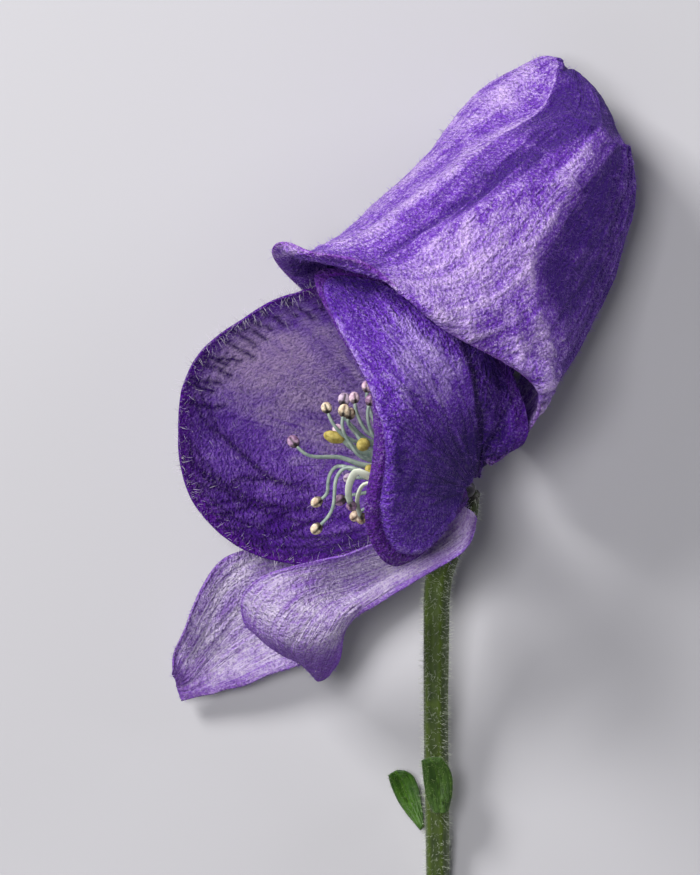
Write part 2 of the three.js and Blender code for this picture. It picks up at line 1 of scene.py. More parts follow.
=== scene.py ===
# %% [markdown]
# # A monkshood flower, lying on its side
# A monkshood flower has five coloured sepals. The upper one is a tall hood, two cupped
# laterals stand at its sides, and two narrow lower ones hang under the mouth. A bundle of
# stamens stands in the middle, and two stalked nectaries hide inside the hood. This lesson
# gives each of these pieces its skin, folds, veins and hair around a fixed frame.

import bpy
import numpy as np
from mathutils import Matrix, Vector, kdtree


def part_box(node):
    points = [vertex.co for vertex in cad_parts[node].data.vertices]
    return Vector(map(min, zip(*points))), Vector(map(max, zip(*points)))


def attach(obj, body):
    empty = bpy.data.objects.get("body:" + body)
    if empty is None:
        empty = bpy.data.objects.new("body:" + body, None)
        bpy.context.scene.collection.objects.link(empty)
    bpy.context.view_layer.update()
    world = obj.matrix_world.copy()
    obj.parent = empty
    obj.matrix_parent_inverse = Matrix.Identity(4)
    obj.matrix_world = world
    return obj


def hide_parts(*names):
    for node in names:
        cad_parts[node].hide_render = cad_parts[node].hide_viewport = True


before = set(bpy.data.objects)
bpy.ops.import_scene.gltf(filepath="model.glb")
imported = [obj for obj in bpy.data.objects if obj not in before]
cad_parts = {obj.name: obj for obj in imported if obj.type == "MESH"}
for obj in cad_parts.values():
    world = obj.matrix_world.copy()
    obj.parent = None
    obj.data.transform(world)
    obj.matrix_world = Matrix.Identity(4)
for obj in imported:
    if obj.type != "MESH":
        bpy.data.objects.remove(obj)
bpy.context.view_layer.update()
MM = 0.001

# %% [markdown]
# Every control point below is in millimetres from the heart of the flower, where the sepals
# and the stalk meet. The heart lies inside the receptacle, so its place is measured from the
# receptacle's box in the frame, and nothing has to be fitted by eye.

# %% The heart
HEART_IN_RECEPTACLE = (3.027, 1.273, 1.026)
HEART = np.array(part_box("receptacle")[0]) + np.array(HEART_IN_RECEPTACLE) * MM
print("heart in mm:", (HEART / MM).round(2))


def place(points):
    """Millimetres from the heart become metres in the frame."""
    return np.asarray(points, float) * MM + HEART


# %% [markdown]
# The flower lies on a pale table and the camera looks straight down on it. A long lens keeps
# the proportions calm. The strongest lamp stands to the upper left, because raking light shows
# velvet and folds. A second lamp hangs overhead. Two weak ones draw the right edge and open the
# shadows at the front.

# %% Camera, table and lights
CAMERA_FROM_HEART = (-8.4, 3.675, 300)
CAMERA_LENS = 176.3
TABLE_SIZE = 3
TABLE_COLOUR = (0.42, 0.42, 0.44, 1)
ROOM_COLOUR = (0.92, 0.94, 1.0, 1)
ROOM_LIGHT = 0.035
# For each lamp: its place in millimetres from the heart, its size in metres, power and colour.
LAMPS = {
    "key_lamp": ((-240, 230, 240), 0.12, 2.0, (1.0, 0.98, 0.97)),
    "top_lamp": ((-90, 30, 380), 0.12, 1.0, (1.0, 0.98, 1.0)),
    "edge_lamp": ((260, 150, 60), 0.1, 0.35, (0.95, 0.95, 1.0)),
    "front_lamp": ((-120, -220, 200), 0.3, 0.15, (1.0, 1.0, 1.0)),
}


def make_camera():
    data = bpy.data.cameras.new("camera")
    data.lens = CAMERA_LENS
    data.clip_start = 0.01
    camera = bpy.data.objects.new("camera", data)
    bpy.context.scene.collection.objects.link(camera)
    camera.location = place(CAMERA_FROM_HEART)
    bpy.context.scene.camera = camera


def make_light(name, from_heart, size, power, colour):
    data = bpy.data.lights.new(name, "AREA")
    data.size = size
    data.energy = power
    data.color = colour
    light = bpy.data.objects.new(name, data)
    bpy.context.scene.collection.objects.link(light)
    light.location = place(from_heart)
    aim = Vector(HEART) - light.location
    light.rotation_euler = aim.to_track_quat("-Z", "Y").to_euler()


def make_table():
    bpy.ops.mesh.primitive_plane_add(size=TABLE_SIZE)
    table = bpy.context.object
    table.name = "table_top"
    material = bpy.data.materials.new("pale_table")
    material.use_nodes = True
    skin = material.node_tree.nodes["Principled BSDF"]
    skin.inputs["Base Color"].default_value = TABLE_COLOUR
    skin.inputs["Roughness"].default_value = 0.8
    table.data.materials.append(material)


make_camera()
make_table()
for lamp_name, lamp_settings in LAMPS.items():
    make_light(lamp_name, *lamp_settings)
world = bpy.data.worlds.new("soft_room")
bpy.context.scene.world = world
world.use_nodes = True
background = world.node_tree.nodes["Background"]
background.inputs["Color"].default_value = ROOM_COLOUR
background.inputs["Strength"].default_value = ROOM_LIGHT
bpy.context.scene.view_settings.view_transform = "Standard"

# %% [markdown]
# Petals are smooth sheets that a few control points describe. A spline whose bend never
# jumps runs through the points of each row, and then through all the rows. The same two
# helpers make every sheet and every stalk in the flower.

# %% Smooth curves and surfaces


def spline(points, count, closed=False):
    """Evenly stepped points on the smooth curve through the control points."""
    p = np.asarray(points, float)
    n = len(p)
    flat = p.reshape(n, -1)
    system = 4 * np.eye(n) + np.eye(n, k=1) + np.eye(n, k=-1)
    target = 3 * (np.roll(flat, -1, 0) - np.roll(flat, 1, 0))
    if closed:
        system[0, -1] = system[-1, 0] = 1
    else:
        system[0, 0] = system[-1, -1] = 2
        target[0] = 3 * (flat[1] - flat[0])
        target[-1] = 3 * (flat[-1] - flat[-2])
    slope = np.linalg.solve(system, target).reshape(p.shape)
    t = np.linspace(0, n if closed else n - 1, count, endpoint=not closed)
    i = np.minimum(t.astype(int), n - 1 if closed else n - 2)
    w = (t - i).reshape((-1,) + (1,) * (p.ndim - 1))
    a, b = p[i], p[(i + 1) % n]
    slope_a, slope_b = slope[i], slope[(i + 1) % n]
    bend = 2 * a - 2 * b + slope_a + slope_b
    return a + slope_a * w + (3 * (b - a) - 2 * slope_a - slope_b) * w**2 + bend * w**3


def surface(rows, across, along, closed=False):
    """A grid of points through rows of control points, indexed [across the rows][along a row]."""
    fine = spline(np.asarray(rows, float).swapaxes(0, 1), along, closed)
    return spline(fine.swapaxes(0, 1), across)


def unit(vectors):
    return vectors / np.maximum(np.linalg.norm(vectors, axis=-1, keepdims=True), 1e-12)


def grid_normals(grid, closed=False):
    if closed:
        along = np.roll(grid, -1, 1) - np.roll(grid, 1, 1)
    else:
        along = np.gradient(grid, axis=1)
    return unit(np.cross(along, np.gradient(grid, axis=0)))


# %% [markdown]
# Living tissue is never quite even, so folds, blotches and grains all draw on one soft
# random field. It is worked out from whole-number arithmetic, and gives the same flower on
# every run.

# %% A soft random field
HASH_START = (40503, 7)
HASH_FACTORS = (73856093, 19349663, 83492791)


def soft_noise(x, y, z=0.0, seed=0):
    """Smooth random values from -1 to 1 over space, about one bump for each unit."""
    x, y, z = np.broadcast_arrays(x, y, z)
    cell = [np.floor(a).astype(np.int64) for a in (x, y, z)]
    part = [a - c for a, c in zip((x, y, z), cell)]
    part = [f * f * (3 - 2 * f) for f in part]
    total = np.zeros(x.shape)
    for corner in range(8):
        step = [(corner >> k) & 1 for k in range(3)]
        key = seed * HASH_START[0] + HASH_START[1]
        for c, s, factor in zip(cell, step, HASH_FACTORS):
            key = key ^ ((c + s) * factor)
        key = (key ^ (key >> 13)) & 0x7FFFFFFF
        key = (key * 1103515245 + 12345) & 0x7FFFFFFF
        value = ((key >> 8) & 0xFFFF) / 32767.5 - 1
        weight = 1.0
        for f, s in zip(part, step):
            weight = weight * (f if s else 1 - f)
        total += value * weight
    return total


def layered_noise(x, y, z=0.0, seed=0, layers=3):
    """Soft noise with finer and weaker bumps added to it."""
    parts = [soft_noise(x * 2**k, y * 2**k, z * 2**k, seed + k) / 2**k for k in range(layers)]
    return sum(parts) / 1.6


def ridged(values):
    """Turns a soft field into narrow ridges with flat ground between them."""
    return (1 - np.abs(values)) ** 3


def smooth_step(low, high, values):
    """0 before the low end and 1 past the high end, with a smooth climb between."""
    t = np.clip((values - low) / (high - low), 0, 1)
    return t * t * (3 - 2 * t)


def bell(values, width):
    """1 where a value is 0, fading to 0 at about twice the width on either side."""
    return np.exp(-((values / width) ** 2))


# %% [markdown]
# Some folds are so clear that they deserve a line of their own, and so does the painted shadow
# that the hood casts on the near lateral. Such a line is given as it is seen from above, in
# millimetres from the heart, and each point of a sheet learns how far it is from the line and on
# which side.

# %% Lines seen from above
TABLE_BELOW_HEART = 9.248
SHEET_ABOVE_TABLE = 0.25
LINE_STEPS = 90


def seen_from_above(grid):
    """Where each point seems to lie at the height of the heart, as the camera sees it."""
    eye = np.array(CAMERA_FROM_HEART, float)
    shrink = eye[2] / (eye[2] - grid[..., 2:])
    return (grid[..., :2] - eye[:2]) * shrink + eye[:2]


def line_distance(grid, line):
    """Millimetres to the line: positive to the left of somebody who walks along it."""
    way = spline(line, LINE_STEPS)
    flat = seen_from_above(grid).reshape(-1, 2)
    away = flat[:, None] - way[None]
    nearest = np.argmin((away**2).sum(-1), axis=1)
    ahead = np.gradient(way, axis=0)[nearest]
    gap = away[np.arange(len(flat)), nearest]
    side = ahead[:, 0] * gap[:, 1] - ahead[:, 1] * gap[:, 0]
    return (np.sign(side) * np.linalg.norm(gap, axis=1)).reshape(grid.shape[:2])


def lifted(grid, lift, closed=False, outwards=1.0):
    """The sheet moved along its normals, but never into the table."""
    moved = grid + grid_normals(grid, closed) * (lift * outwards)[..., None]
    moved[..., 2] = np.maximum(moved[..., 2], SHEET_ABOVE_TABLE - TABLE_BELOW_HEART)
    return moved


# %% [markdown]
# A sepal is a closed sheet with an outer and an inner skin. Its thickness fades towards the
# free edge, so the edge looks soft and fine. Each point keeps a few painted values, such as
# how near it is to a vein or to the edge, and the materials read them back later.

# %% From a grid to a sheet of tissue
NO_EDGE = 1e3


def edge_distance(grid, sides=("row_end", "first", "last")):
    """Millimetres from each grid point to the nearest named free edge, along the sheet."""
    nearest = np.full(grid.shape[:2], NO_EDGE)
    for side in sides:
        axis = 1 if side in ("row_start", "row_end") else 0
        steps = np.linalg.norm(np.diff(grid, axis=axis), axis=-1)
        from_the_end = side in ("row_end", "last")
        if from_the_end:
            steps = np.flip(steps, axis)
        run = np.insert(np.cumsum(steps, axis), 0, 0, axis)
        if from_the_end:
            run = np.flip(run, axis)
        nearest = np.minimum(nearest, run)
    return nearest


def skin_quads(across, along, closed):
    """The quads between neighbouring points of one skin."""
    spans = np.arange(along if closed else along - 1)
    i, j = np.meshgrid(np.arange(across - 1), spans, indexing="ij")
    right = (j + 1) % along
    corners = [i * along + j, i * along + right, (i + 1) * along + right, (i + 1) * along + j]
    return np.stack([c.ravel() for c in corners], 1)


def rim_loop(index, closed):
    """The points around the free edge. A closed sheet has one only on its first ring."""
    if closed:
        return index[0]
    return np.concatenate([index[0], index[1:, -1], index[-1, -2::-1], index[-2:0:-1, 0]])


def sheet_object(name, grid, thickness, painted, closed=False, pole=None):
    """A closed sheet around the grid's points, in millimetres from the heart."""
    across, along = grid.shape[:2]
    normal = grid_normals(grid, closed)
    offset = normal * (thickness / 2)[..., None]
    skins = [(grid + offset).reshape(-1, 3), (grid - offset).reshape(-1, 3)]
    count = across * along
    quads = skin_quads(across, along, closed)
    index = np.arange(count).reshape(across, along)
    loop = rim_loop(index, closed)
    ahead = np.roll(loop, -1)
    rim = np.stack([ahead, loop, loop + count, ahead + count], 1)
    faces = [quads, quads[:, ::-1] + count, rim]
    vertices = np.concatenate(skins)
    triangles = []
    values = {key: np.tile(value.ravel(), 2) for key, value in painted.items()}
    if pole is not None:
        tip_normal = unit(normal[-1].mean(0)) * thickness[-1, 0] / 2
        vertices = np.concatenate([vertices, [pole + tip_normal, pole - tip_normal]])
        last = index[-1]
        ahead = np.roll(last, -1)
        top, bottom = np.full(along, 2 * count), np.full(along, 2 * count + 1)
        triangles = np.concatenate([
            np.stack([last, ahead, top], 1),
            np.stack([ahead + count, last + count, bottom], 1),
        ])
        values = {key: np.append(value, [value[count - 1]] * 2) for key, value in values.items()}
    face_list = [tuple(f) for f in np.concatenate(faces)] + [tuple(f) for f in triangles]
    v_of = np.repeat(np.linspace(0, 1, across), along)
    u_of = np.tile(np.arange(along) / (along if closed else along - 1), across)
    return mesh_object(name, place(vertices), face_list, values, sheet_uv(u_of, v_of, pole, closed))


def sheet_uv(u_of, v_of, pole, closed):
    """Each point's place on the sheet: along a row, and across the rows."""
    u, v = np.tile(u_of, 2), np.tile(v_of, 2)
    if pole is not None:
        u, v = np.append(u, [0.5, 0.5]), np.append(v, [1, 1])
    return u, v, closed


def mesh_object(name, vertices, faces, values, uv=None):
    """A smooth mesh in the scene, with the painted values and the sheet's coordinates on it."""
    mesh = bpy.data.meshes.new(name)
    mesh.from_pydata([tuple(v) for v in vertices], [], [tuple(int(i) for i in f) for f in faces])
    mesh.shade_smooth()
    if uv is not None:
        u, v, closed = uv
        layer = mesh.uv_layers.new(name="sheet_uv")
        corner = np.zeros(len(mesh.loops), np.int32)
        mesh.loops.foreach_get("vertex_index", corner)
        places = np.stack([u[corner], v[corner]], 1)
        if closed:
            start = np.zeros(len(mesh.polygons), np.int32)
            size = np.zeros(len(mesh.polygons), np.int32)
            mesh.polygons.foreach_get("loop_start", start)
            mesh.polygons.foreach_get("loop_total", size)
            face_of = np.repeat(np.arange(len(start)), size)
            widest = np.zeros(len(start))
            np.maximum.at(widest, face_of, places[:, 0])
            wraps = (widest[face_of] > 0.9) & (places[:, 0] < 0.1)
            places[wraps, 0] += 1
        layer.data.foreach_set("uv", places.astype(np.float32).ravel())
    for key, value in values.items():
        layer = mesh.attributes.new(key, "FLOAT", "POINT")
        layer.data.foreach_set("value", np.asarray(value, np.float32))
    mesh.validate()
    turn_outwards(mesh)
    item = bpy.data.objects.new(name, mesh)
    bpy.context.scene.collection.objects.link(item)
    return item


def turn_outwards(mesh):
    """Flips all faces if the closed mesh is inside out, which its signed volume tells."""
    mesh.calc_loop_triangles()
    corners = np.zeros(len(mesh.loop_triangles) * 3, np.int32)
    mesh.loop_triangles.foreach_get("vertices", corners)
    spots = np.zeros(len(mesh.vertices) * 3, np.float32)
    mesh.vertices.foreach_get("co", spots)
    spots = spots.reshape(-1, 3).astype(float)
    spots -= spots.mean(0)
    a, b, c = spots[corners].reshape(-1, 3, 3).swapaxes(0, 1)
    if np.einsum("ij,ij->i", a, np.cross(b, c)).sum() < 0:
        mesh.flip_normals()


def hand_over(item, nodes):
    """The finished piece stands for its nodes of the frame."""
    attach(item, "root")
    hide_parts(*nodes)
    print(item.name, "has", len(item.data.polygons), "faces")


# %% [markdown]
# Veins fan out from the claw of each sepal and fork on their way to the edge, like the
# creases on the back of a leaf. They are drawn here as forking walks over the sheet's own
# grid, from claw to edge, and each point of the sheet then learns how near the closest one is.

# %% Veins that fork


class VeinMap:
    """Draws forking lines on a grid of points and measures how close each point is to one."""

    def __init__(self, grid, seed):
        self.grid = grid
        self.random = np.random.default_rng(seed)
        self.spots = []
        self.widths = []

    def at(self, across, along):
        rows, columns = self.grid.shape[:2]
        y = np.clip(across, 0, 1) * (rows - 1)
        x = np.clip(along, 0, 1) * (columns - 1)
        i, j = min(int(y), rows - 2), min(int(x), columns - 2)
        fy, fx = y - i, x - j
        low = self.grid[i, j] * (1 - fx) + self.grid[i, j + 1] * fx
        high = self.grid[i + 1, j] * (1 - fx) + self.grid[i + 1, j + 1] * fx
        return low * (1 - fy) + high * fy

    def walk(self, across, along, heading, width, forks, end=1.0, step=0.006):
        """A line from one place on the sheet towards its far edge, forking as it goes."""
        drift = 0.0
        next_fork = along + self.random.uniform(0.1, 0.28)
        while along < end and 0.0 < across < 1.0:
            self.spots.append(self.at(across, along))
            self.widths.append(width)
            drift = 0.9 * drift + self.random.normal(0, 0.05)
            across += (heading + drift) * step
            along += step
            width = max(width * 0.995, 0.035)
            if forks > 0 and along > next_fork:
                turn = self.random.uniform(0.14, 0.32)
                self.walk(across, along, heading + turn, width * 0.75, forks - 1, end)
                self.walk(across, along, heading - turn, width * 0.75, forks - 1, end)
                return

    def nearness(self):
        """1 on a line, fading to 0 beside it."""
        tree = kdtree.KDTree(len(self.spots))
        for i, spot in enumerate(self.spots):
            tree.insert(spot, i)
        tree.balance()
        flat = self.grid.reshape(-1, 3)
        near = np.zeros(len(flat))
        for i, point in enumerate(flat):
            _, which, distance = tree.find(point)
            near[i] = bell(distance, self.widths[which])
        return near.reshape(self.grid.shape[:2])


# %% [markdown]
# Every material is built from nodes. A few short helpers add a node, join it to others and
# mix colours, so that each recipe reads as a list of steps.

# %% Shader helpers


def new_material(name):
    material = bpy.data.materials.new(name)
    material.use_nodes = True
    return material, material.node_tree, material.node_tree.nodes["Principled BSDF"]


def add_node(tree, kind, inputs=None, **settings):
    node = tree.nodes.new(kind)
    for key, value in settings.items():
        setattr(node, key, value)
    for key, value in (inputs or {}).items():
        if isinstance(value, bpy.types.NodeSocket):
            tree.links.new(value, node.inputs[key])
        else:
            node.inputs[key].default_value = value
    return node


def colour_mix(tree, factor, first, second, blend="MIX"):
    node = add_node(tree, "ShaderNodeMix", data_type="RGBA", blend_type=blend)
    for socket, value in zip((0, 6, 7), (factor, first, second)):
        if isinstance(value, bpy.types.NodeSocket):
            tree.links.new(value, node.inputs[socket])
        elif socket == 0:
            node.inputs[0].default_value = value
        else:
            node.inputs[socket].default_value = (*value, 1)
    return node.outputs[2]


def calculate(tree, operation, first, second, clamp=False):
    settings = {"operation": operation, "use_clamp": clamp}
    return add_node(tree, "ShaderNodeMath", {0: first, 1: second}, **settings).outputs[0]


def map_range(tree, value, low, high, new_low=0.0, new_high=1.0):
    inputs = {"Value": value, "From Min": low, "From Max": high, "To Min": new_low, "To Max": new_high}
    return add_node(tree, "ShaderNodeMapRange", inputs).outputs[0]


def painted_value(tree, name):
    return add_node(tree, "ShaderNodeAttribute", attribute_name=name).outputs["Fac"]


def let_light_through(tree, skin, colour, share):
    """Mixes in a translucent shader, since thin tissue glows when it is lit from behind."""
    through = add_node(tree, "ShaderNodeBsdfTranslucent", {"Color": colour})
    inputs = {0: share, 1: skin.outputs[0], 2: through.outputs[0]}
    mix = add_node(tree, "ShaderNodeMixShader", inputs)
    tree.links.new(mix.outputs[0], tree.nodes["Material Output"].inputs["Surface"])


def group_floats(group, direction, defaults):
    """Adds one number socket to a node group for each name."""
    for name, default in defaults.items():
        socket = group.interface.new_socket(name, in_out=direction, socket_type="NodeSocketFloat")
        if default is not None:
            socket.default_value = default


# %% [markdown]
# A sepal's colour comes from its skin cells. Each cell is a tiny dome that catches the light,
# which gives the velvet its frosty sparkle. This group makes that sparkle as painted glints,
# painted shade in the pits between clumps of cells, and their height, all from fine cells in
# space. Every sepal uses it, each with its own strength.

# %% The grain of petal skin


def build_grain_group():
    group = bpy.data.node_groups.new("petal_grain", "ShaderNodeTree")
    group_floats(group, "INPUT", {"Cell Size": 0.09, "Blotch Size": 1.6})
    group_floats(group, "OUTPUT", dict.fromkeys(("Sparkle", "Pit", "Blotch", "Height")))
    enter = group.nodes.new("NodeGroupInput")
    leave = group.nodes.new("NodeGroupOutput")
    space = add_node(group, "ShaderNodeTexCoord").outputs["Object"]
    cell_scale = calculate(group, "DIVIDE", 1 / MM, enter.outputs["Cell Size"])
    blotch_scale = calculate(group, "DIVIDE", 1 / MM, enter.outputs["Blotch Size"])
    cells = add_node(group, "ShaderNodeTexVoronoi", {"Vector": space, "Scale": cell_scale})
    clumps = add_node(
        group, "ShaderNodeTexNoise",
        {"Vector": space, "Scale": calculate(group, "MULTIPLY", cell_scale, 0.45), "Detail": 3.0},
    )
    blotches = add_node(
        group, "ShaderNodeTexNoise",
        {"Vector": space, "Scale": blotch_scale, "Detail": 4.0, "Roughness": 0.6},
    )
    # Painted glints on the cells that catch the light, and painted shade in the pits between clumps of
    # cells.
    separate = add_node(group, "ShaderNodeSeparateColor", {"Color": cells.outputs["Color"]})
    glint = map_range(group, separate.outputs[0], 0.35, 1.0)
    clump = map_range(group, clumps.outputs["Fac"], 0.38, 0.66)
    painted_glint = calculate(group, "MULTIPLY", glint, clump, clamp=True)
    dome = calculate(group, "SUBTRACT", 1.0, cells.outputs["Distance"], clamp=True)
    crepe_scale = calculate(group, "MULTIPLY", cell_scale, 0.27)
    crepe = add_node(group, "ShaderNodeTexNoise", {"Vector": space, "Scale": crepe_scale, "Detail": 2.0})
    height = calculate(group, "ADD", calculate(group, "MULTIPLY", dome, 0.5), clump)
    height = calculate(group, "ADD", height, calculate(group, "MULTIPLY", crepe.outputs["Fac"], 3.5))
    group.links.new(map_range(group, clumps.outputs["Fac"], 0.5, 0.34), leave.inputs["Pit"])
    group.links.new(painted_glint, leave.inputs["Sparkle"])
    group.links.new(map_range(group, blotches.outputs["Fac"], 0.3, 0.7), leave.inputs["Blotch"])
    group.links.new(height, leave.inputs["Height"])
    return group


grain_group = build_grain_group()
print("grain group sockets:", [s.name for s in grain_group.interface.items_tree])

# %% [markdown]
# The streak group draws the long fibres of a sepal. It follows the sheet's own coordinates,
# so the streaks run from the claw to the edge however the sheet bends.

# %% Streaks along a sheet


def build_streak_group():
    group = bpy.data.node_groups.new("sheet_streaks", "ShaderNodeTree")
    group_floats(group, "INPUT", {"Across Count": 60.0, "Along Count": 5.0})
    group_floats(group, "OUTPUT", {"Streak": None})
    enter = group.nodes.new("NodeGroupInput")
    leave = group.nodes.new("NodeGroupOutput")
    uv = add_node(group, "ShaderNodeUVMap", uv_map="sheet_uv").outputs["UV"]
    parts = add_node(group, "ShaderNodeSeparateXYZ", {"Vector": uv})
    across = calculate(group, "MULTIPLY", parts.outputs["Y"], enter.outputs["Across Count"])
    along = calculate(group, "MULTIPLY", parts.outputs["X"], enter.outputs["Along Count"])
    spot = add_node(group, "ShaderNodeCombineXYZ", {"X": along, "Y": across})
    noise = add_node(
        group, "ShaderNodeTexNoise",
        {"Vector": spot.outputs[0], "Scale": 1.0, "Detail": 4.0, "Roughness": 0.62, "Distortion": 0.5},
    )
    group.links.new(map_range(group, noise.outputs["Fac"], 0.32, 0.68), leave.inputs["Streak"])
    return group


streak_group = build_streak_group()


def use_group(tree, group, **inputs):
    node = tree.nodes.new("ShaderNodeGroup")
    node.node_tree = group
    for key, value in inputs.items():
        node.inputs[key.replace("_", " ").title()].default_value = value
    return node


# %% [markdown]
# One recipe serves every sepal: painted shade, body and painted light colours, chosen by a
# painted value that holds the sepal's own tone together with its painted light and shade, dark
# veins, a rim colour at the free edge, painted shade in the pits and painted glints on top. The
# light that a thin petal lets through from behind comes from a translucent shader mixed into the
# skin.

# %% The sepal recipe


def sepal_material(name, shade, body, light, rim, vein, painted_glint=0.5, vein_strength=0.8,
                   streaks=(60.0, 5.0), streak_strength=0.5, glow=0.16):
    material, tree, skin = new_material(name)
    grain = use_group(tree, grain_group)
    counts = {"across_count": streaks[0], "along_count": streaks[1]}
    streak = use_group(tree, streak_group, **counts).outputs["Streak"]
    blotch = grain.outputs["Blotch"]
    tone = painted_value(tree, "tone")
    wander = calculate(tree, "MULTIPLY", calculate(tree, "SUBTRACT", blotch, 0.5), 0.35)
    wisp = calculate(tree, "MULTIPLY", calculate(tree, "SUBTRACT", streak, 0.5), streak_strength)
    tone = calculate(tree, "ADD", calculate(tree, "ADD", tone, wander), wisp, clamp=True)
    # Painted shade and painted light: the shade and light colours stand for the sheet's shaded and lit
    # sides, and the painted value picks between them.
    dark_half = colour_mix(tree, map_range(tree, tone, 0.0, 0.5), shade, body)
    base = colour_mix(tree, map_range(tree, tone, 0.5, 1.0), dark_half, light)
    base = colour_mix(tree, painted_value(tree, "rim"), base, rim)
    vein_mask = calculate(tree, "MULTIPLY", painted_value(tree, "vein"), vein_strength, clamp=True)
    base = colour_mix(tree, vein_mask, base, vein)
    # Painted glints and painted shade in the pits go into the colour.
    painted_glints = calculate(tree, "MULTIPLY", grain.outputs["Sparkle"], painted_glint)
    painted_glints = calculate(tree, "MULTIPLY", painted_glints, map_range(tree, tone, 0.0, 0.7, 0.1, 1.0))
    pit_shade = calculate(tree, "MULTIPLY", grain.outputs["Pit"], 0.45)
    base = colour_mix(tree, pit_shade, base, shade)
    base = colour_mix(tree, painted_glints, base, tuple(min(1, 0.35 + 0.75 * c) for c in light))
    tree.links.new(base, skin.inputs["Base Color"])
    rough = map_range(tree, grain.outputs["Sparkle"], 0.0, 1.0, 0.62, 0.42)
    tree.links.new(rough, skin.inputs["Roughness"])
    skin.inputs["Specular IOR Level"].default_value = 0.14
    skin.inputs["Sheen Weight"].default_value = 0.05
    skin.inputs["Sheen Roughness"].default_value = 0.45
    skin.inputs["Sheen Tint"].default_value = (0.78, 0.68, 1.0, 1)
    relief = calculate(tree, "ADD", grain.outputs["Height"], calculate(tree, "MULTIPLY", streak, 1.2))
    bump = add_node(tree, "ShaderNodeBump", {"Height": relief, "Strength": 0.85, "Distance": 0.00019})
    tree.links.new(bump.outputs["Normal"], skin.inputs["Normal"])
    let_light_through(tree, skin, base, glow)
    return material


# %% [markdown]
# The hood is the biggest sepal, a helmet with a sharp keel and a rolled rim. Its control
# points are closed rings from the lip up to the crown. Each ring starts on the keel, goes over
# the near side to the back, and returns under the far side.

# %% The hood's shape
HOOD_RINGS = [
    [(-12.7, 16.9, 10.4), (-10.7, 16.1, 12.1), (-7, 15.2, 12.6), (-3, 11.7, 11.2), (1.5, 9.1, 8.8),
     (4.7, 5.7, 4.9), (1.7, 1.9, -1.3), (1.7, 4.1, -5.8), (-1.4, 6.2, -8), (-5.4, 9.2, -7.2),
     (-9.5, 12.3, -3.4), (-13.5, 15.8, 6.8)],
    [(-12.2, 16, 9.8), (-10, 15.6, 11.2), (-6.7, 14.6, 11.9), (-2.5, 12.1, 11.5), (1.8, 9.6, 8.8),
     (4.8, 6.7, 5.4), (1.8, 2.3, -1.6), (2, 4.5, -5.6), (-1.1, 6.7, -7.6), (-4.9, 9.8, -6.8),
     (-8.8, 12.8, -3.2), (-11.8, 15.5, 5.4)],
    [(-8.7, 16.7, 7.3), (-6, 16.3, 9), (-2.4, 14.9, 10), (1.1, 13, 9.4), (3.9, 10.8, 7.3),
     (5.7, 8.5, 2.4), (4.3, 5.8, -3), (2.4, 8.2, -7.4), (-2.2, 11.4, -8.2), (-6.3, 14.6, -6.4),
     (-8.7, 16.5, -2), (-9.2, 17.3, 3.4)],
    [(-5, 19.2, 5.1), (-2.4, 18.9, 7.7), (1.1, 17.9, 8.5), (4.4, 16.5, 7.1), (6.8, 14.4, 4.3),
     (8.2, 12.7, -0.2), (7.7, 11, -4.4), (5.1, 12.8, -7.9), (1, 15.5, -8.7), (-2.7, 17.7, -7.2),
     (-5.3, 19.4, -3.4), (-6, 20.2, 1.2)],
    [(-1.7, 22.1, 3.3), (0.9, 21.9, 5.7), (3.9, 21, 6.5), (6.8, 19.7, 5.1), (9, 18.2, 2.2),
     (10.2, 17.4, -1.6), (10, 16.2, -5.1), (7.4, 17.9, -8.1), (3.6, 19.8, -9), (0, 21.7, -7.9),
     (-2.2, 23.2, -4.4), (-2.7, 23.4, -0.4)],
    [(2.4, 24.9, 1), (4.6, 24.8, 3.1), (6.9, 24, 3.7), (9.1, 22.9, 2.4), (10.5, 21.9, -0.2),
     (11.2, 21.2, -2.8), (11, 20.4, -5.2), (9.1, 21.8, -7.8), (6, 24, -8.9), (2.7, 26.1, -8.2),
     (0.7, 27.4, -5.4), (0.5, 27.2, -2)],
    [(5.6, 27.1, -0.9), (7, 26.8, 0.6), (8.5, 26.2, 0.9), (9.7, 25.3, 0), (10.4, 24.6, -1.4),
     (10.7, 24, -3.1), (10.5, 23.6, -4.8), (9.4, 25, -6.8), (7.6, 27, -7.5), (5.4, 28.7, -7),
     (4.1, 29.6, -5.2), (4, 29.5, -3)],
    [(6.4, 29.1, -1.9), (7.3, 29.2, -1.4), (8.3, 28.6, -1.4), (9, 27.8, -2), (9.3, 27.2, -2.9),
     (9.3, 26.9, -3.9), (9, 27, -4.8), (8.1, 27.9, -5.6), (7.1, 29, -5.9), (6.3, 29.9, -5.7),
     (5.8, 30.4, -4.8), (5.8, 30.3, -3.4)],
]
HOOD_CROWN = (7.1, 29.5, -3.3)
HOOD_ACROSS, HOOD_AROUND = 165, 230
SHEET_THICKNESS = 0.3
EDGE_THICKNESS = 0.14


def bump_at(grid, centre, radius):
    """1 at a place given in millimetres, fading to 0 at about twice the radius."""
    away = np.linalg.norm(grid - np.array(centre), axis=-1)
    return bell(away, radius)


def tapered_thickness(edge):
    return EDGE_THICKNESS + (SHEET_THICKNESS - EDGE_THICKNESS) * smooth_step(0, 1.6, edge)


KEEL_LINE = [
    (6.2, 29.9), (6.4, 28.5), (5.5, 26.3), (3.3, 24.7), (0.9, 23.5), (-0.9, 22.1), (-2.8, 20.7),
    (-4.7, 19.3), (-6.3, 18), (-7.9, 17.2), (-10.5, 16.7),
]
CHEEK_LINE = [(-2.8, 18.2), (-0.9, 19.1), (0.9, 20.2), (2.3, 20.9), (4.2, 21.6), (6.1, 22), (7, 21.5)]
BACK_LINE = [
    (8.2, 23.2), (7, 21.5), (5.8, 19.6), (4.7, 17.7), (3.9, 16.3), (4.1, 14.5), (4.4, 12.1),
    (4.7, 9.8), (4.8, 7.5), (4.7, 5.4),
]
CROWN_LINE = [(6.4, 26.9), (7.2, 25.9), (9.3, 24.5), (10.7, 23.8)]


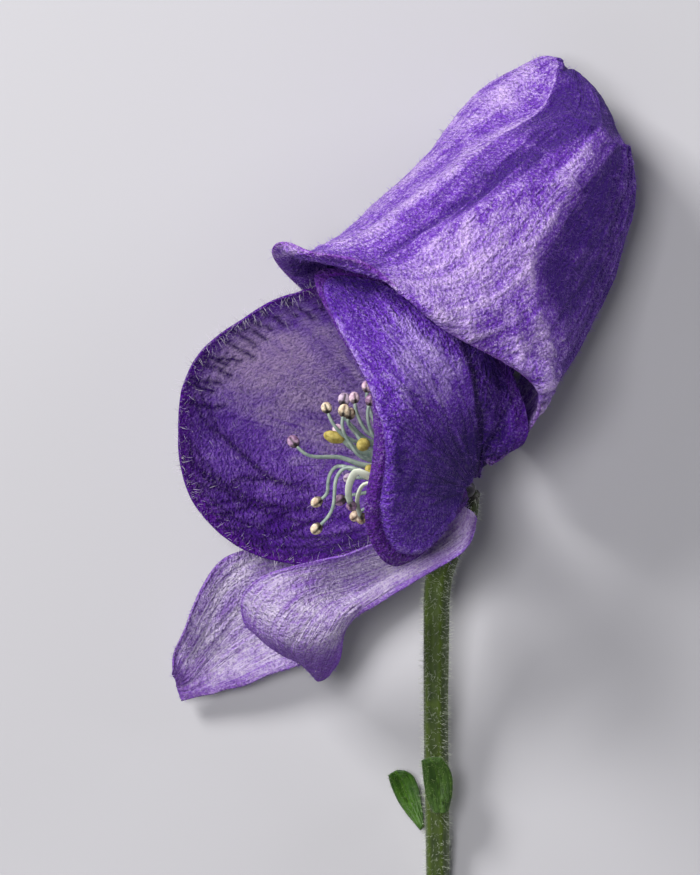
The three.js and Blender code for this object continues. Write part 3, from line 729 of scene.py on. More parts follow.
def hood_normals_sign():
    """1 if the normals of the hood's grid point outwards, and -1 if they point inwards."""
    coarse = surface([*HOOD_RINGS, [HOOD_CROWN] * 12], 12, 24, closed=True)[:-1]
    away = coarse - coarse.mean((0, 1))
    return np.sign((grid_normals(coarse, True) * away).sum(-1).mean())


def shape_hood():
    """The hood's grid with its folds, and what is painted on it."""
    crown_row = [HOOD_CROWN] * len(HOOD_RINGS[0])
    grid = surface([*HOOD_RINGS, crown_row], HOOD_ACROSS + 1, HOOD_AROUND, closed=True)[:-1]
    turn = np.arange(HOOD_AROUND) / HOOD_AROUND
    u = np.broadcast_to(turn, grid.shape[:2])
    v = np.broadcast_to(np.linspace(0, 1, HOOD_ACROSS)[:, None], grid.shape[:2])
    warp = 0.018 * soft_noise(5 * np.cos(2 * np.pi * u), 5 * np.sin(2 * np.pi * u), v * 7, seed=3)
    angle = 2 * np.pi * (u + warp + 0.03 * v)
    ring_x, ring_y = np.cos(angle), np.sin(angle)
    ridges = ridged(1.5 * layered_noise(4.5 * ring_x, 4.5 * ring_y, v * 1.6, seed=11))
    fibres = ridged(1.6 * layered_noise(13 * ring_x, 13 * ring_y, v * 3.5, seed=17))
    x, y, z = np.moveaxis(grid, -1, 0)
    billow = layered_noise(x / 5, y / 5, z / 5, seed=23)
    crumple = ridged(1.7 * layered_noise(x / 1.5 + y / 4, y / 2.2, z / 1.8, seed=29))
    pucker = layered_noise(x / 0.8, y / 0.8, z / 0.8, seed=33, layers=2)
    keel, cheek = line_distance(grid, KEEL_LINE), line_distance(grid, CHEEK_LINE)
    back, crown = line_distance(grid, BACK_LINE), line_distance(grid, CROWN_LINE)
    outwards = hood_normals_sign()
    upper = smooth_step(-0.2, 0.3, outwards * grid_normals(grid, closed=True)[..., 2])
    behind = smooth_step(-0.3, 2.2, back) * (y < 24)
    crumpled = bump_at(grid, (3.6, 9, 5), 3.4) + 0.7 * bump_at(grid, (8.6, 20.5, 0), 3.2)
    crumpled += 0.6 * bump_at(grid, (-1, 13, 9), 3)
    fade = smooth_step(0, 0.06, v) * (1 - smooth_step(0.88, 1.0, v))
    lift = 0.2 * ridges * (0.4 + 1.6 * behind) + 0.06 * fibres + 0.25 * billow + 0.045 * pucker
    lift += 0.6 * crumple * crumpled
    folds = 0.3 * np.exp(-np.abs(keel) / 0.35) - 0.45 * bell(keel - 1.3, 1.0) * (keel > 0)
    folds += 0.24 * bell(cheek + 0.5, 0.55) - 0.26 * bell(cheek - 0.6, 0.7)
    folds += np.where(back < 0, 0.55 * np.exp(back / 1.8), 0.55 * np.exp(-back / 0.9))
    folds += 0.35 * np.exp(-np.abs(crown) / 0.5)
    lift = lift * fade + folds * upper * smooth_step(0.0, 0.12, v) * (1 - smooth_step(0.93, 1.0, v))
    grid = lifted(grid, lift, closed=True, outwards=outwards)
    edge = edge_distance(grid, ("first",))
    # Painted light and shade: the hood is lighter on its ridges, fibres, bulges and crumples, along the
    # keel, the back fold and the cheek fold, on the far half and in a patch on its near side, and darker
    # under the keel, on its back and on its crown.
    tone = 0.56 + (0.22 + 0.2 * behind) * (ridges - 0.4) + 0.16 * (fibres - 0.4) + 0.12 * billow
    tone += 0.3 * crumple * crumpled + 0.2 * np.exp(-np.abs(keel) / 0.3)
    tone += 0.1 * smooth_step(-0.6, -2.5, keel)
    tone += 0.22 * bump_at(grid, (-4, 14.5, 9), 5.5) - 0.5 * bell(keel - 1.5, 1.2) * (keel > 0)
    tone -= 0.56 * behind + 0.6 * smooth_step(23.5, 25.5, y) * (keel > -0.2)
    tone += 0.2 * np.exp(-np.abs(back + 0.1) / 0.3) + 0.15 * np.exp(-np.abs(cheek + 0.3) / 0.3)
    painted = {
        "tone": np.clip(tone, 0, 1),
        "rim": 0.6 * bell(edge, 0.3),
        "hair": np.clip(0.3 + 0.7 * behind + 0.4 * np.exp(-edge / 0.6), 0, 1),
    }
    return grid, edge, painted, (u, v)


hood_grid, hood_edge, hood_painted, hood_uv = shape_hood()
print("hood grid:", hood_grid.shape)

# %% [markdown]
# The hood's veins rise from its base at the back and climb along the helmet to the crown.
# They show as fine dark lines in the velvet.

# %% The hood's veins and skin


def closed_hood_grid(grid):
    """The hood's grid cut along the keel, turned so that a row runs from rim to crown."""
    return np.concatenate([grid, grid[:, :1]], 1).swapaxes(0, 1)


def build_hood():
    veins = VeinMap(closed_hood_grid(hood_grid), seed=5)
    for start in np.linspace(0.03, 0.97, 17):
        veins.walk(start, 0.05, veins.random.normal(0, 0.02), 0.1, 2, end=0.97)
    near = veins.nearness().swapaxes(0, 1)[:, :-1]
    hood_painted["vein"] = near * (1 - 0.6 * smooth_step(0.5, 1, hood_uv[1]))
    thickness = tapered_thickness(hood_edge)
    item = sheet_object(
        "monkshood_hood", hood_grid, thickness, hood_painted, closed=True, pole=np.array(HOOD_CROWN)
    )
    item.data.materials.append(sepal_material(
        "hood_velvet", shade=(0.05, 0.006, 0.22), body=(0.2, 0.05, 0.6), light=(0.7, 0.5, 0.97),
        rim=(0.3, 0.06, 0.6), vein=(0.05, 0.015, 0.3), painted_glint=0.8, vein_strength=0.4,
        streaks=(5.0, 90.0), streak_strength=0.22, glow=0.1,
    ))
    hand_over(item, ["hood"])
    return item


hood = build_hood()

# %% [markdown]
# The two lateral sepals are cupped fans. Their control points are spokes from the claw, where
# the sepal is attached, to the free edge. The near one hides half of the flower's mouth, and
# the far one shows its inner face behind the stamens.

# %% The lateral sepals' shape
NEAR_LATERAL = [
    [(0.8, 0.7, 1.4), (1.1, 1.6, 1.8), (1.7, 2, 2.2), (2.6, 2.5, 2.5)],
    [(0.7, 0.9, 1.6), (1.5, 2.3, 2.9), (2.7, 3.4, 3.7), (3.9, 4.4, 3.8)],
    [(0.5, 0.9, 1.8), (1.3, 3.5, 4.1), (1.9, 6.3, 4.8), (2.5, 8.5, 4.2)],
    [(0.4, 0.9, 2), (0.5, 4.2, 5.8), (0.5, 7.7, 7.8), (0.3, 11.5, 7.8)],
    [(0.2, 0.9, 2.1), (-0.7, 4.9, 7.8), (-2.3, 9.5, 10.4), (-4.5, 14.2, 9.2)],
    [(0.1, 0.9, 2.2), (-2.2, 4.9, 10), (-5.6, 9.9, 12.2), (-10.6, 15.2, 8.2)],
    [(-0.1, 0.7, 2.3), (-3, 4.2, 11), (-5.9, 7.4, 13.6), (-9.1, 10.7, 11.2)],
    [(-0.2, 0.4, 2.3), (-3, 2.7, 10.8), (-5.5, 4.2, 14), (-6.9, 5.5, 13)],
    [(-0.3, 0.2, 2.3), (-3, 0.9, 9.8), (-5.5, 1.2, 13.4), (-7.1, 1.4, 13)],
    [(-0.3, -0.1, 2.2), (-2.7, -0.6, 8.2), (-5.3, -1.9, 11.4), (-7.3, -2.5, 11.6)],
    [(-0.2, -0.4, 2), (-1.7, -1.6, 5.9), (-3.6, -3.3, 8.8), (-5.3, -5.1, 9.4)],
    [(-0.1, -0.6, 1.8), (-0.7, -1.3, 3.8), (-1.5, -2, 5.2), (-2.4, -3.4, 6.6)],
]
FAR_LATERAL = [
    [(-0.4, 0.4, -1.7), (-0.3, 1.7, -3), (-0.5, 2.9, -4.2), (-0.7, 4.2, -4.8)],
    [(-0.5, 0.4, -1.8), (-1.3, 3.5, -5.2), (-2.1, 6.3, -5.2), (-3.1, 9.7, -3.6)],
    [(-0.7, 0.3, -1.9), (-3, 4.6, -6.8), (-5.2, 9.2, -4.6), (-7.6, 13, 0)],
    [(-0.8, 0.2, -2), (-4.4, 4.9, -7.8), (-8.3, 9.9, -4.4), (-11, 14, 3.6)],
    [(-0.9, 0, -2.1), (-5.9, 4.2, -8.4), (-11.4, 8.5, -5.4), (-16.2, 11.8, 1.6)],
    [(-0.9, -0.1, -2.2), (-6.6, 3.1, -8.7), (-13.4, 6.4, -6.2), (-19.5, 8.8, -0.4)],
    [(-0.9, -0.2, -2.2), (-7, 2.1, -8.7), (-14.1, 3.5, -7), (-20.4, 4.2, -2)],
    [(-0.9, -0.4, -2.2), (-6.8, 1, -8.5), (-13.4, 0.3, -7.4), (-20, 0, -3.4)],
    [(-0.8, -0.4, -2.1), (-5.9, -0.2, -8), (-11.3, -2.4, -7.4), (-17, -3.7, -4.4)],
    [(-0.6, -0.5, -2), (-4.5, -1.2, -7.2), (-8, -3.3, -6.8), (-11.8, -5.1, -4.6)],
    [(-0.4, -0.6, -1.9), (-2.7, -1.6, -5), (-4.8, -2.9, -5.8), (-7.3, -4.2, -5)],
    [(-0.5, -0.5, -1.8), (-1.5, -1.1, -2.9), (-2.2, -2, -3.7), (-3.4, -2.7, -4.2)],
]


VEIN_WIDTH = 0.17


def shape_sepal(rows, across, along, seed, ripple, wave):
    """A fan with soft billows, radial creases and a gently waved free edge."""
    grid = surface(rows, across, along)
    v, u = np.meshgrid(np.linspace(0, 1, across), np.linspace(0, 1, along), indexing="ij")
    x, y, z = np.moveaxis(grid, -1, 0)
    billow = layered_noise(x / 4.5, y / 4.5, z / 4.5, seed=seed)
    crease = ridged(1.5 * layered_noise(v * 11, u * 1.8 + 0.4, seed=seed + 5))
    pucker = layered_noise(x / 0.9, y / 0.9, z / 0.9, seed=seed + 9, layers=2)
    edge = edge_distance(grid)
    near_edge = np.exp(-edge / 1.1)
    inside = smooth_step(0.05, 0.3, u)
    lift = inside * (0.25 * billow + ripple * (crease - 0.4) + 0.035 * pucker)
    lift += wave * near_edge * soft_noise(v * 16, u * 2, seed=seed + 13) * inside
    grid = lifted(grid, lift)
    return grid, edge_distance(grid), (u, v), {"billow": billow, "crease": crease}


def sepal_veins(grid, starts, seed, forks=4):
    veins = VeinMap(grid, seed)
    for start in starts:
        veins.walk(start, 0.03, veins.random.normal(0, 0.02), VEIN_WIDTH, forks, end=0.985)
    return veins.nearness()


SPINE_LINE = [(1, 0.6), (0.95, 3), (0.75, 5.6), (0.5, 7.9), (-0.2, 10.3), (-1.6, 12.2)]
LOBE_LINE = [(1.1, 2.2), (2, 4.3), (3, 6.4)]
HOOD_SHADOW_LINE = [(-9, 15.4), (-5.5, 14.2), (-2.5, 12.4), (0.5, 10.2), (2.6, 8)]


def build_near_lateral():
    grid, edge, (u, v), fields = shape_sepal(NEAR_LATERAL, 180, 180, seed=41, ripple=0.16, wave=0.2)
    near = sepal_veins(grid, np.linspace(0.1, 0.92, 10), seed=8)
    spine = line_distance(grid, SPINE_LINE)
    lobe = line_distance(grid, LOBE_LINE)
    lift = -0.07 * near * bell(u - 0.4, 0.5) - 0.4 * bell(spine, 0.45) - 0.25 * bell(lobe, 0.3)
    front = smooth_step(0.3, 0.42, v)
    curl = front * np.clip(1 - edge / 1.4, 0, 1)
    lift += 0.15 * front * bell(edge - 1.7, 0.5) - 0.3 * front * bell(edge - 1.1, 0.25) - 0.1 * curl
    grid = lifted(grid, lift, outwards=np.sign(grid_normals(grid)[85, 75, 2]))
    # Painted light falls on the bulge, and the painted shadow of the hood's rim runs along the line
    # under the hood. The low starting tone leaves the rest of the sheet in painted shade.
    painted_light_and_shadow = bump_at(grid, (-3.6, 9.3, 10.5), 4.6)
    painted_light_and_shadow -= 0.6 * bell(line_distance(grid, HOOD_SHADOW_LINE), 1.3)
    tone = 0.2 + 0.64 * painted_light_and_shadow + 0.2 * (fields["crease"] - 0.4) + 0.15 * fields["billow"]
    # A painted highlight runs along the ridge inside the front band, and painted shade darkens the sheet
    # towards the claw.
    tone += 0.25 * front * bell(edge - 1.5, 0.35) - 0.3 * smooth_step(0.45, 0.0, u)
    # The sheet is also painted dark along the spine and along the fold by the lobe.
    vein = near * (1 - 0.55 * smooth_step(0.4, 1, u)) + bell(spine, 0.28) + 0.8 * bell(lobe, 0.2)
    painted = {
        "tone": np.clip(tone, 0, 1),
        # The dark band along the front edge is painted shade, where the edge would curl away.
        "rim": np.clip((0.4 + 0.6 * front) * smooth_step(1.35, 1.05, edge), 0, 1),
        "vein": np.clip(vein, 0, 1),
        "hair": 0.35 + 0.65 * np.exp(-edge / 0.5),
    }
    item = sheet_object("monkshood_near_lateral", grid, tapered_thickness(edge), painted)
    item.data.materials.append(sepal_material(
        "near_lateral_velvet", shade=(0.04, 0.005, 0.2), body=(0.16, 0.03, 0.56),
        light=(0.6, 0.42, 0.95), rim=(0.1, 0.008, 0.28), vein=(0.02, 0.003, 0.11), painted_glint=0.6,
        vein_strength=0.85, streaks=(80.0, 4.0), streak_strength=0.25, glow=0.12,
    ))
    hand_over(item, ["near_lateral_sepal"])
    return item


def build_far_lateral():
    grid, edge, (u, _), fields = shape_sepal(FAR_LATERAL, 200, 200, seed=61, ripple=0.12, wave=0.24)
    near = sepal_veins(grid, np.linspace(0.06, 0.95, 15), seed=21, forks=5)
    margin = VeinMap(grid, 22)
    for start in np.linspace(0.66, 0.96, 11):
        margin.walk(start, 0.55, margin.random.normal(0, 0.2), 0.3, 4, end=0.97)
    for start in np.linspace(0.14, 0.5, 22):
        along = margin.random.uniform(0.84, 0.9)
        margin.walk(start, along, margin.random.normal(0, 0.1), VEIN_WIDTH, 1, end=0.99)
    margin_near = margin.nearness()
    # The pale patches are partly the sepal's own paler middle and partly painted light, where the lamps
    # reach the inner face poorly. Below the heart the sheet gets darker.
    pale = bump_at(grid, (-15, 9.5, -2.5), 5.5) + 0.6 * bump_at(grid, (-8.5, 6, -7), 6)
    pale -= 0.35 * smooth_step(2, -3, grid[..., 1])
    tone = 0.34 + 0.75 * pale + 0.18 * (fields["crease"] - 0.4) + 0.12 * fields["billow"]
    vein = near * (0.4 + 0.5 * smooth_step(5, 1.5, edge)) + margin_near * smooth_step(0.5, 0.7, u)
    painted = {
        "tone": np.clip(tone, 0, 1),
        "rim": np.clip(1.1 * bell(edge, 1.3) * (1 + 0.3 * fields["billow"]), 0, 1),
        "vein": np.clip(vein, 0, 1),
        "hair": 0.03 + 0.97 * np.exp(-edge / 0.3),
    }
    item = sheet_object("monkshood_far_lateral", grid, tapered_thickness(edge), painted)
    item.data.materials.append(sepal_material(
        "far_lateral_silk", shade=(0.1, 0.015, 0.36), body=(0.36, 0.15, 0.8), light=(0.86, 0.68, 1.0),
        rim=(0.14, 0.008, 0.4), vein=(0.04, 0.003, 0.15), painted_glint=0.45, vein_strength=1.0,
        streaks=(90.0, 4.0), streak_strength=0.22, glow=0.45,
    ))
    hand_over(item, ["far_lateral_sepal"])
    return item


near_lateral = build_near_lateral()
far_lateral = build_far_lateral()

# %% [markdown]
# The lower sepals are narrow and pale, with fine parallel veins. The near one is a trough
# whose tip turns down and deepens in colour. Their control points are ribs across the blade,
# from claw to tip.

# %% The lower sepals' shape
NEAR_LOWER = [
    [(-0.9, -1, 1.5), (-0.5, -1.1, 1.6), (-0.2, -1.3, 1.7), (0.2, -1.6, 1.8), (0.4, -2, 2)],
    [(-1.6, -1.5, 2.6), (-1, -2, 1.8), (-0.5, -2.6, 1.8), (-0.1, -3, 2.4), (0, -3.4, 3.2)],
    [(-4.2, -2.7, 3), (-3.2, -3.5, 1.4), (-2.3, -4.1, 1), (-1.7, -4.4, 2.2), (-1.6, -4.9, 3.6)],
    [(-7.4, -3.9, 2.4), (-6.4, -5, 0.8), (-5.6, -5.9, 0.4), (-4.9, -6, 1.6), (-4.6, -6.8, 2.2)],
    [(-10.6, -4.9, 1.6), (-9.6, -6.1, 0.4), (-8.5, -7.4, -0.2), (-7.6, -7.7, 1), (-6.9, -8.2, 1)],
    [(-14.1, -5.8, 1), (-12.4, -7, 1.3), (-10.6, -8.2, 1.1), (-9, -8.8, 1.2), (-8.2, -9.2, 0.6)],
    [(-16, -7.6, -0.6), (-14.1, -9, 0.6), (-12.1, -10.2, 0.9), (-10.1, -10.7, 0.5), (-8.8, -10.4, -0.4)],
    [(-15.5, -9.8, -2.6), (-13.9, -10.8, -1.6), (-12.3, -11.5, -1.2), (-10.7, -12, -1.4),
     (-9.2, -12.1, -1.9)],
    [(-13, -11.8, -4), (-12.1, -12.4, -3.8), (-11.3, -13, -3.6), (-10.7, -13.6, -3.5),
     (-10.1, -13.1, -3.4)],
]
FAR_LOWER = [
    [(-1.1, -1.2, -3.5), (-1, -1.4, -3.5), (-0.9, -1.6, -3.5), (-0.8, -1.7, -3.6), (-0.7, -1.9, -3.7)],
    [(-4.4, -3.2, -6.8), (-4.1, -3.6, -6.2), (-3.8, -4.1, -6), (-3.5, -4.5, -5.8), (-3.3, -4.9, -5.8)],
    [(-9.3, -4.8, -7), (-8.7, -5.8, -6.8), (-8.3, -6.7, -6.8), (-8, -7.4, -6.6), (-8, -8.2, -6.4)],
    [(-13.3, -4.3, -7), (-12.1, -6.4, -7.2), (-11.3, -8.3, -7.3), (-10.8, -10.1, -7),
     (-10.5, -11.7, -6.4)],
    [(-17.1, -4.8, -6.2), (-15.6, -7.6, -7.2), (-14.4, -10.1, -7.7), (-13.6, -11.6, -7.3),
     (-12.8, -12.8, -6.4)],
    [(-19.3, -7.7, -5.8), (-18.1, -10.1, -7.2), (-17.2, -11.9, -7.8), (-16.4, -13.1, -7.5),
     (-15.8, -14, -6.8)],
    [(-20.9, -11.7, -6.4), (-20.1, -13, -7.4), (-19.5, -13.9, -7.8), (-19, -14.4, -7.6),
     (-18.4, -14.7, -7.2)],
    [(-21.1, -13.3, -7), (-20.9, -13.8, -7.3), (-20.8, -14.3, -7.5), (-20.7, -14.7, -7.6),
     (-20.5, -15.2, -7.5)],
]
RIB_EDGES = ("last", "row_start", "row_end")


def shape_lower(rows, across, along, seed):
    """Like the fans, but the rows are ribs across the blade, so the roles are swapped."""
    grid = surface(rows, across, along)
    v, u = np.meshgrid(np.linspace(0, 1, across), np.linspace(0, 1, along), indexing="ij")
    x, y, z = np.moveaxis(grid, -1, 0)
    billow = layered_noise(x / 3, y / 3, z / 3, seed=seed)
    crease = ridged(1.5 * layered_noise(u * 7, v * 2.2, seed=seed + 5))
    inside = smooth_step(0.03, 0.25, v)
    lift = inside * (0.16 * billow + 0.11 * (crease - 0.4))
    edge = edge_distance(grid, RIB_EDGES)
    lift += 0.16 * np.exp(-edge / 0.8) * soft_noise(u * 3, v * 14, seed=seed + 13) * inside
    grid = lifted(grid, lift)
    edge = edge_distance(grid, RIB_EDGES)
    return grid, edge, v, {"billow": billow, "crease": crease}


def build_lower(name, node, rows, seed, tip_colour, tip_share):
    grid, edge, v, fields = shape_lower(rows, 150, 90, seed)
    veins = VeinMap(grid.swapaxes(0, 1), seed)
    for start in np.linspace(0.1, 0.9, 7):
        veins.walk(start, 0.03, 0.05 * (start - 0.5), 0.12, 3, end=0.97)
    near = veins.nearness().swapaxes(0, 1)
    tone = 0.82 + 0.25 * (fields["crease"] - 0.4) + 0.14 * fields["billow"]
    tone -= 0.2 * np.exp(-edge / 0.7) + tip_share * smooth_step(0.72, 0.95, v)
    rim = 0.75 * bell(edge, 0.35) + tip_share * smooth_step(0.7, 0.95, v)
    painted = {
        "tone": np.clip(tone, 0, 1),
        "rim": np.clip(rim, 0, 1),
        "vein": near,
        "hair": 0.2 + 0.8 * np.exp(-edge / 0.4),
    }
    item = sheet_object("monkshood_" + name, grid, tapered_thickness(edge), painted)
    item.data.materials.append(sepal_material(
        name + "_silk", shade=(0.16, 0.05, 0.42), body=(0.4, 0.22, 0.74), light=(0.82, 0.72, 0.96),
        rim=tip_colour, vein=(0.3, 0.12, 0.52), painted_glint=0.5, vein_strength=0.45,
        streaks=(4.0, 50.0), streak_strength=0.45, glow=0.2,
    ))
    hand_over(item, [node])
    return item


near_lower = build_lower("near_lower", "near_lower_sepal", NEAR_LOWER, 71, (0.32, 0.12, 0.72), 0.55)
far_lower = build_lower("far_lower", "far_lower_sepal", FAR_LOWER, 83, (0.3, 0.13, 0.6), 0.25)

# %% [markdown]
# The stalk, the stamens, the carpels and the nectaries are all round bodies along a curve.
# Each body may be wider than it is thick, and may be ribbed, which one helper covers.

# %% Round bodies along a curve


def frames_along(centres, first_across):
    """Two directions square to the curve at each of its points, which do not twist."""
    ahead = unit(np.gradient(centres, axis=0))
    across = np.zeros_like(ahead)
    current = np.array(first_across, float)
    for i, direction in enumerate(ahead):
        current = unit(current - direction * (current @ direction))
        across[i] = current
    return ahead, across, np.cross(ahead, across)


def on_stations(radius, stations, sides):
    """A radius for each station, or for each point around it, as a full grid."""
    radius = np.asarray(radius)
    if radius.ndim < 2:
        radius = radius[..., None]
    return np.broadcast_to(radius, (stations, sides))


def round_body(centres, radius_across, radius_up, sides, first_across=(0.13, 0.31, 1)):
    """Points and faces of a closed body with rounded ends, in millimetres."""
    centres = np.asarray(centres, float)
    stations = len(centres)
    _, across, up = frames_along(centres, first_across)
    angle = np.linspace(0, 2 * np.pi, sides, endpoint=False)
    wide = on_stations(radius_across, stations, sides)
    tall = on_stations(radius_up, stations, sides)
    ring = centres[:, None] + across[:, None] * (wide * np.cos(angle))[..., None]
    ring = ring + up[:, None] * (tall * np.sin(angle))[..., None]
    points = np.concatenate([ring.reshape(-1, 3), centres[:1], centres[-1:]])
    i, j = np.meshgrid(np.arange(stations - 1), np.arange(sides), indexing="ij")
    k = (j + 1) % sides
    quads = np.stack([i * sides + j, i * sides + k, (i + 1) * sides + k, (i + 1) * sides + j], -1)
    start, end, last = stations * sides, stations * sides + 1, (stations - 1) * sides
    neighbours = [(here, (here + 1) % sides) for here in range(sides)]
    faces = [tuple(q) for q in quads.reshape(-1, 4)]
    faces += [(there, here, start) for here, there in neighbours]
    faces += [(last + here, last + there, end) for here, there in neighbours]
    return points, faces


def joined_bodies(name, bodies, materials):
    """One object from several closed bodies: each is (points, faces, material index, painted)."""
    points, faces, picks, painted = [], [], [], {}
    offset = 0
    for body_points, body_faces, pick, values in bodies:
        points.append(body_points)
        faces += [tuple(int(i) + offset for i in face) for face in body_faces]
        picks += [pick] * len(body_faces)
        for key, value in values.items():
            painted.setdefault(key, []).append(np.broadcast_to(value, (len(body_points),)))
        offset += len(body_points)
    values = {key: np.concatenate(parts) for key, parts in painted.items()}
    item = mesh_object(name, place(np.concatenate(points)), faces, values)
    for material in materials:
        item.data.materials.append(material)
    item.data.polygons.foreach_set("material_index", picks)
    item.data.update()
    return item


# %% [markdown]
# The green parts share a recipe of dark and light green, with soft patches and a waxy shine.
# A painted value picks the green, and a second one adds a dark violet tinge with painted shade
# near the heart, where the sepals cover the stalk and the receptacle.

# %% The green recipe


def green_material(name, dark, light, blush=(0.2, 0.1, 0.35), fine=0.35, glow=0.1, rough=0.5):
    material, tree, skin = new_material(name)
    space = add_node(tree, "ShaderNodeTexCoord").outputs["Object"]
    patches = add_node(tree, "ShaderNodeTexNoise", {"Vector": space, "Scale": 900.0, "Detail": 4.0})
    cells = add_node(tree, "ShaderNodeTexVoronoi", {"Vector": space, "Scale": 1 / (fine * MM)})
    patch = map_range(tree, patches.outputs["Fac"], 0.3, 0.7, -0.5, 0.5)
    patch = calculate(tree, "MULTIPLY", patch, 0.5)
    tone = calculate(tree, "ADD", painted_value(tree, "tone"), patch, clamp=True)
    base = colour_mix(tree, tone, dark, light)
    base = colour_mix(tree, painted_value(tree, "blush"), base, blush)
    tree.links.new(base, skin.inputs["Base Color"])
    skin.inputs["Roughness"].default_value = rough
    skin.inputs["Specular IOR Level"].default_value = 0.4
    skin.inputs["Sheen Weight"].default_value = 0.15
    bump = add_node(tree, "ShaderNodeBump",
                    {"Height": cells.outputs["Distance"], "Strength": 0.35, "Distance": 0.00005})
    tree.links.new(bump.outputs["Normal"], skin.inputs["Normal"])
    let_light_through(tree, skin, base, glow)
    return material


# %% [markdown]
# The stalk is slightly ribbed. It leaves the heart thin, is thickest a few millimetres below
# the flower, and thins a little towards its cut end. Each row is a place on its centre line,
# with the radius there.

# %% The stalk
STALK = [
    (0.3, -0.2, -0.5, 0.42), (0.1, -1.3, -1.3, 0.52), (-0.5, -2.7, -2, 0.78), (-2, -5.7, -3.1, 0.92),
    (-2.3, -10, -4.1, 0.9), (-2.3, -15.7, -5.5, 0.86), (-2.2, -22.3, -7, 0.84),
    (-2.1, -29.1, -8.2, 0.82),
]
STALK_STATIONS, STALK_SIDES = 260, 48
STALK_LENGTH = 28


def build_stalk():
    way = spline(STALK, STALK_STATIONS)
    centres, radius = way[:, :3], way[:, 3]
    angle = np.linspace(0, 2 * np.pi, STALK_SIDES, endpoint=False)
    along = np.linspace(0, STALK_LENGTH, STALK_STATIONS)[:, None]
    ribs = 0.035 * np.cos(5 * angle + 0.04 * along) + 0.018 * np.cos(11 * angle + 0.09 * along)
    knobs = 0.035 * layered_noise(1.6 * np.cos(angle), 1.6 * np.sin(angle), along / 1.3, seed=31)
    wide = radius[:, None] * (1 + ribs + knobs)
    points, faces = round_body(centres, wide, wide, STALK_SIDES)
    tone = 0.5 + 6 * ribs + 0.25 * layered_noise(np.cos(angle), np.sin(angle), along / 3, seed=37)
    tone = np.append(tone.ravel(), [0.4, 0.5])
    # Near the heart the stalk gets a dark violet tinge and painted shade, where it runs under the
    # sepals.
    blush = np.broadcast_to(0.9 * bell(along, 2.6), wide.shape).ravel()
    blush = np.append(blush, [0.3, 0.0])
    skin = green_material("stalk_skin", (0.012, 0.026, 0.001), (0.06, 0.1, 0.004), (0.02, 0.012, 0.02))
    body = (points, faces, 0, {"tone": tone, "blush": blush, "hair": np.ones(len(points))})
    item = joined_bodies("monkshood_stalk", [body], [skin])
    hand_over(item, ["stalk"])
    return item


stalk = build_stalk()

# %% [markdown]
# Two small bracts sit low on the stalk. They are thicker than the sepals and folded along
# the middle.

# %% The bracts
NEAR_BRACT = [
    [(-2.5, -22.9, -6), (-1.9, -23.1, -5.8), (-1.4, -22.9, -6)],
    [(-3, -21.7, -5.5), (-2, -21.9, -5.7), (-1.1, -21.6, -5.7)],
    [(-3.2, -20.2, -4.9), (-2.2, -20.3, -5.4), (-1.2, -20.2, -5.4)],
    [(-3.3, -19.3, -4.5), (-2.7, -19.1, -4.7), (-1.9, -19.1, -4.8)],
]
FAR_BRACT = [
    [(-3.3, -24.5, -7.7), (-3.2, -24.3, -7.6), (-3.1, -24.1, -7.6)],
    [(-4.6, -23, -8.2), (-4.1, -22.7, -8.4), (-3.3, -22.4, -8)],
    [(-5.4, -21.4, -8), (-4.7, -21.1, -8.3), (-3.8, -20.8, -8)],
    [(-5.6, -20.6, -7.6), (-5.1, -20.3, -7.8), (-4.5, -20.3, -7.7)],
]
BRACT_THICKNESS, BRACT_EDGE = 0.42, 0.16
BRACT_ACROSS, BRACT_ALONG = 70, 50


def build_bract(name, rows, dark, light):
    grid = surface(rows, BRACT_ACROSS, BRACT_ALONG)
    places = np.linspace(0, 1, BRACT_ACROSS), np.linspace(0, 1, BRACT_ALONG)
    v, u = np.meshgrid(*places, indexing="ij")
    edge = edge_distance(grid, RIB_EDGES)
    crease = ridged(1.4 * layered_noise(u * 5, v * 2, seed=91))
    midrib = bell(u - 0.5, 0.07)
    grid = grid + grid_normals(grid) * (0.05 * crease - 0.05 * midrib)[..., None]
    thickness = BRACT_EDGE + (BRACT_THICKNESS - BRACT_EDGE) * smooth_step(0, 0.35, edge)
    tone = np.clip(0.25 + 0.4 * crease + 0.4 * midrib, 0, 1)
    hair = 0.4 + 0.6 * np.exp(-edge / 0.25)
    painted = {"tone": tone, "blush": 0 * tone, "hair": hair}
    item = sheet_object("monkshood_" + name, grid, thickness, painted)
    item.data.materials.append(green_material(name + "_skin", dark, light, fine=0.2, glow=0.25))
    hand_over(item, [name])
    return item


near_bract = build_bract("near_bract", NEAR_BRACT, (0.015, 0.05, 0.003), (0.06, 0.14, 0.012))
far_bract = build_bract("far_bract", FAR_BRACT, (0.012, 0.055, 0.001), (0.06, 0.17, 0.004))

# %% [markdown]
# The receptacle is a small turned knob. Its upper disc carries the stamens and the carpels,
# and it looks along the bundle's own axis.

# %% The receptacle and the bundle's axis
BUNDLE_AXIS = unit(np.array((-0.82, 0.25, 0.515)))
BUNDLE_UP = unit(np.array((0, 1, 0)) - BUNDLE_AXIS * BUNDLE_AXIS[1])
BUNDLE_SIDE = np.cross(BUNDLE_AXIS, BUNDLE_UP)
BUNDLE_START = 2.5
KNOB = [(0.25, -0.3), (0.6, -0.2), (0.85, 0), (1, 0.4), (1.1, 1.2), (1.45, 1.9), (1.88, 2.22),
        (1.85, 2.38), (0.6, 2.44)]
KNOB_STATIONS, KNOB_SIDES = 40, 32


def bundle_point(turn, along, off):
    """A place given by its turn about the axis, its height along it and its distance from it."""
    angle = np.radians(turn)
    spoke = BUNDLE_UP * np.cos(angle) + BUNDLE_SIDE * np.sin(angle)
    return spoke * off + BUNDLE_AXIS * along


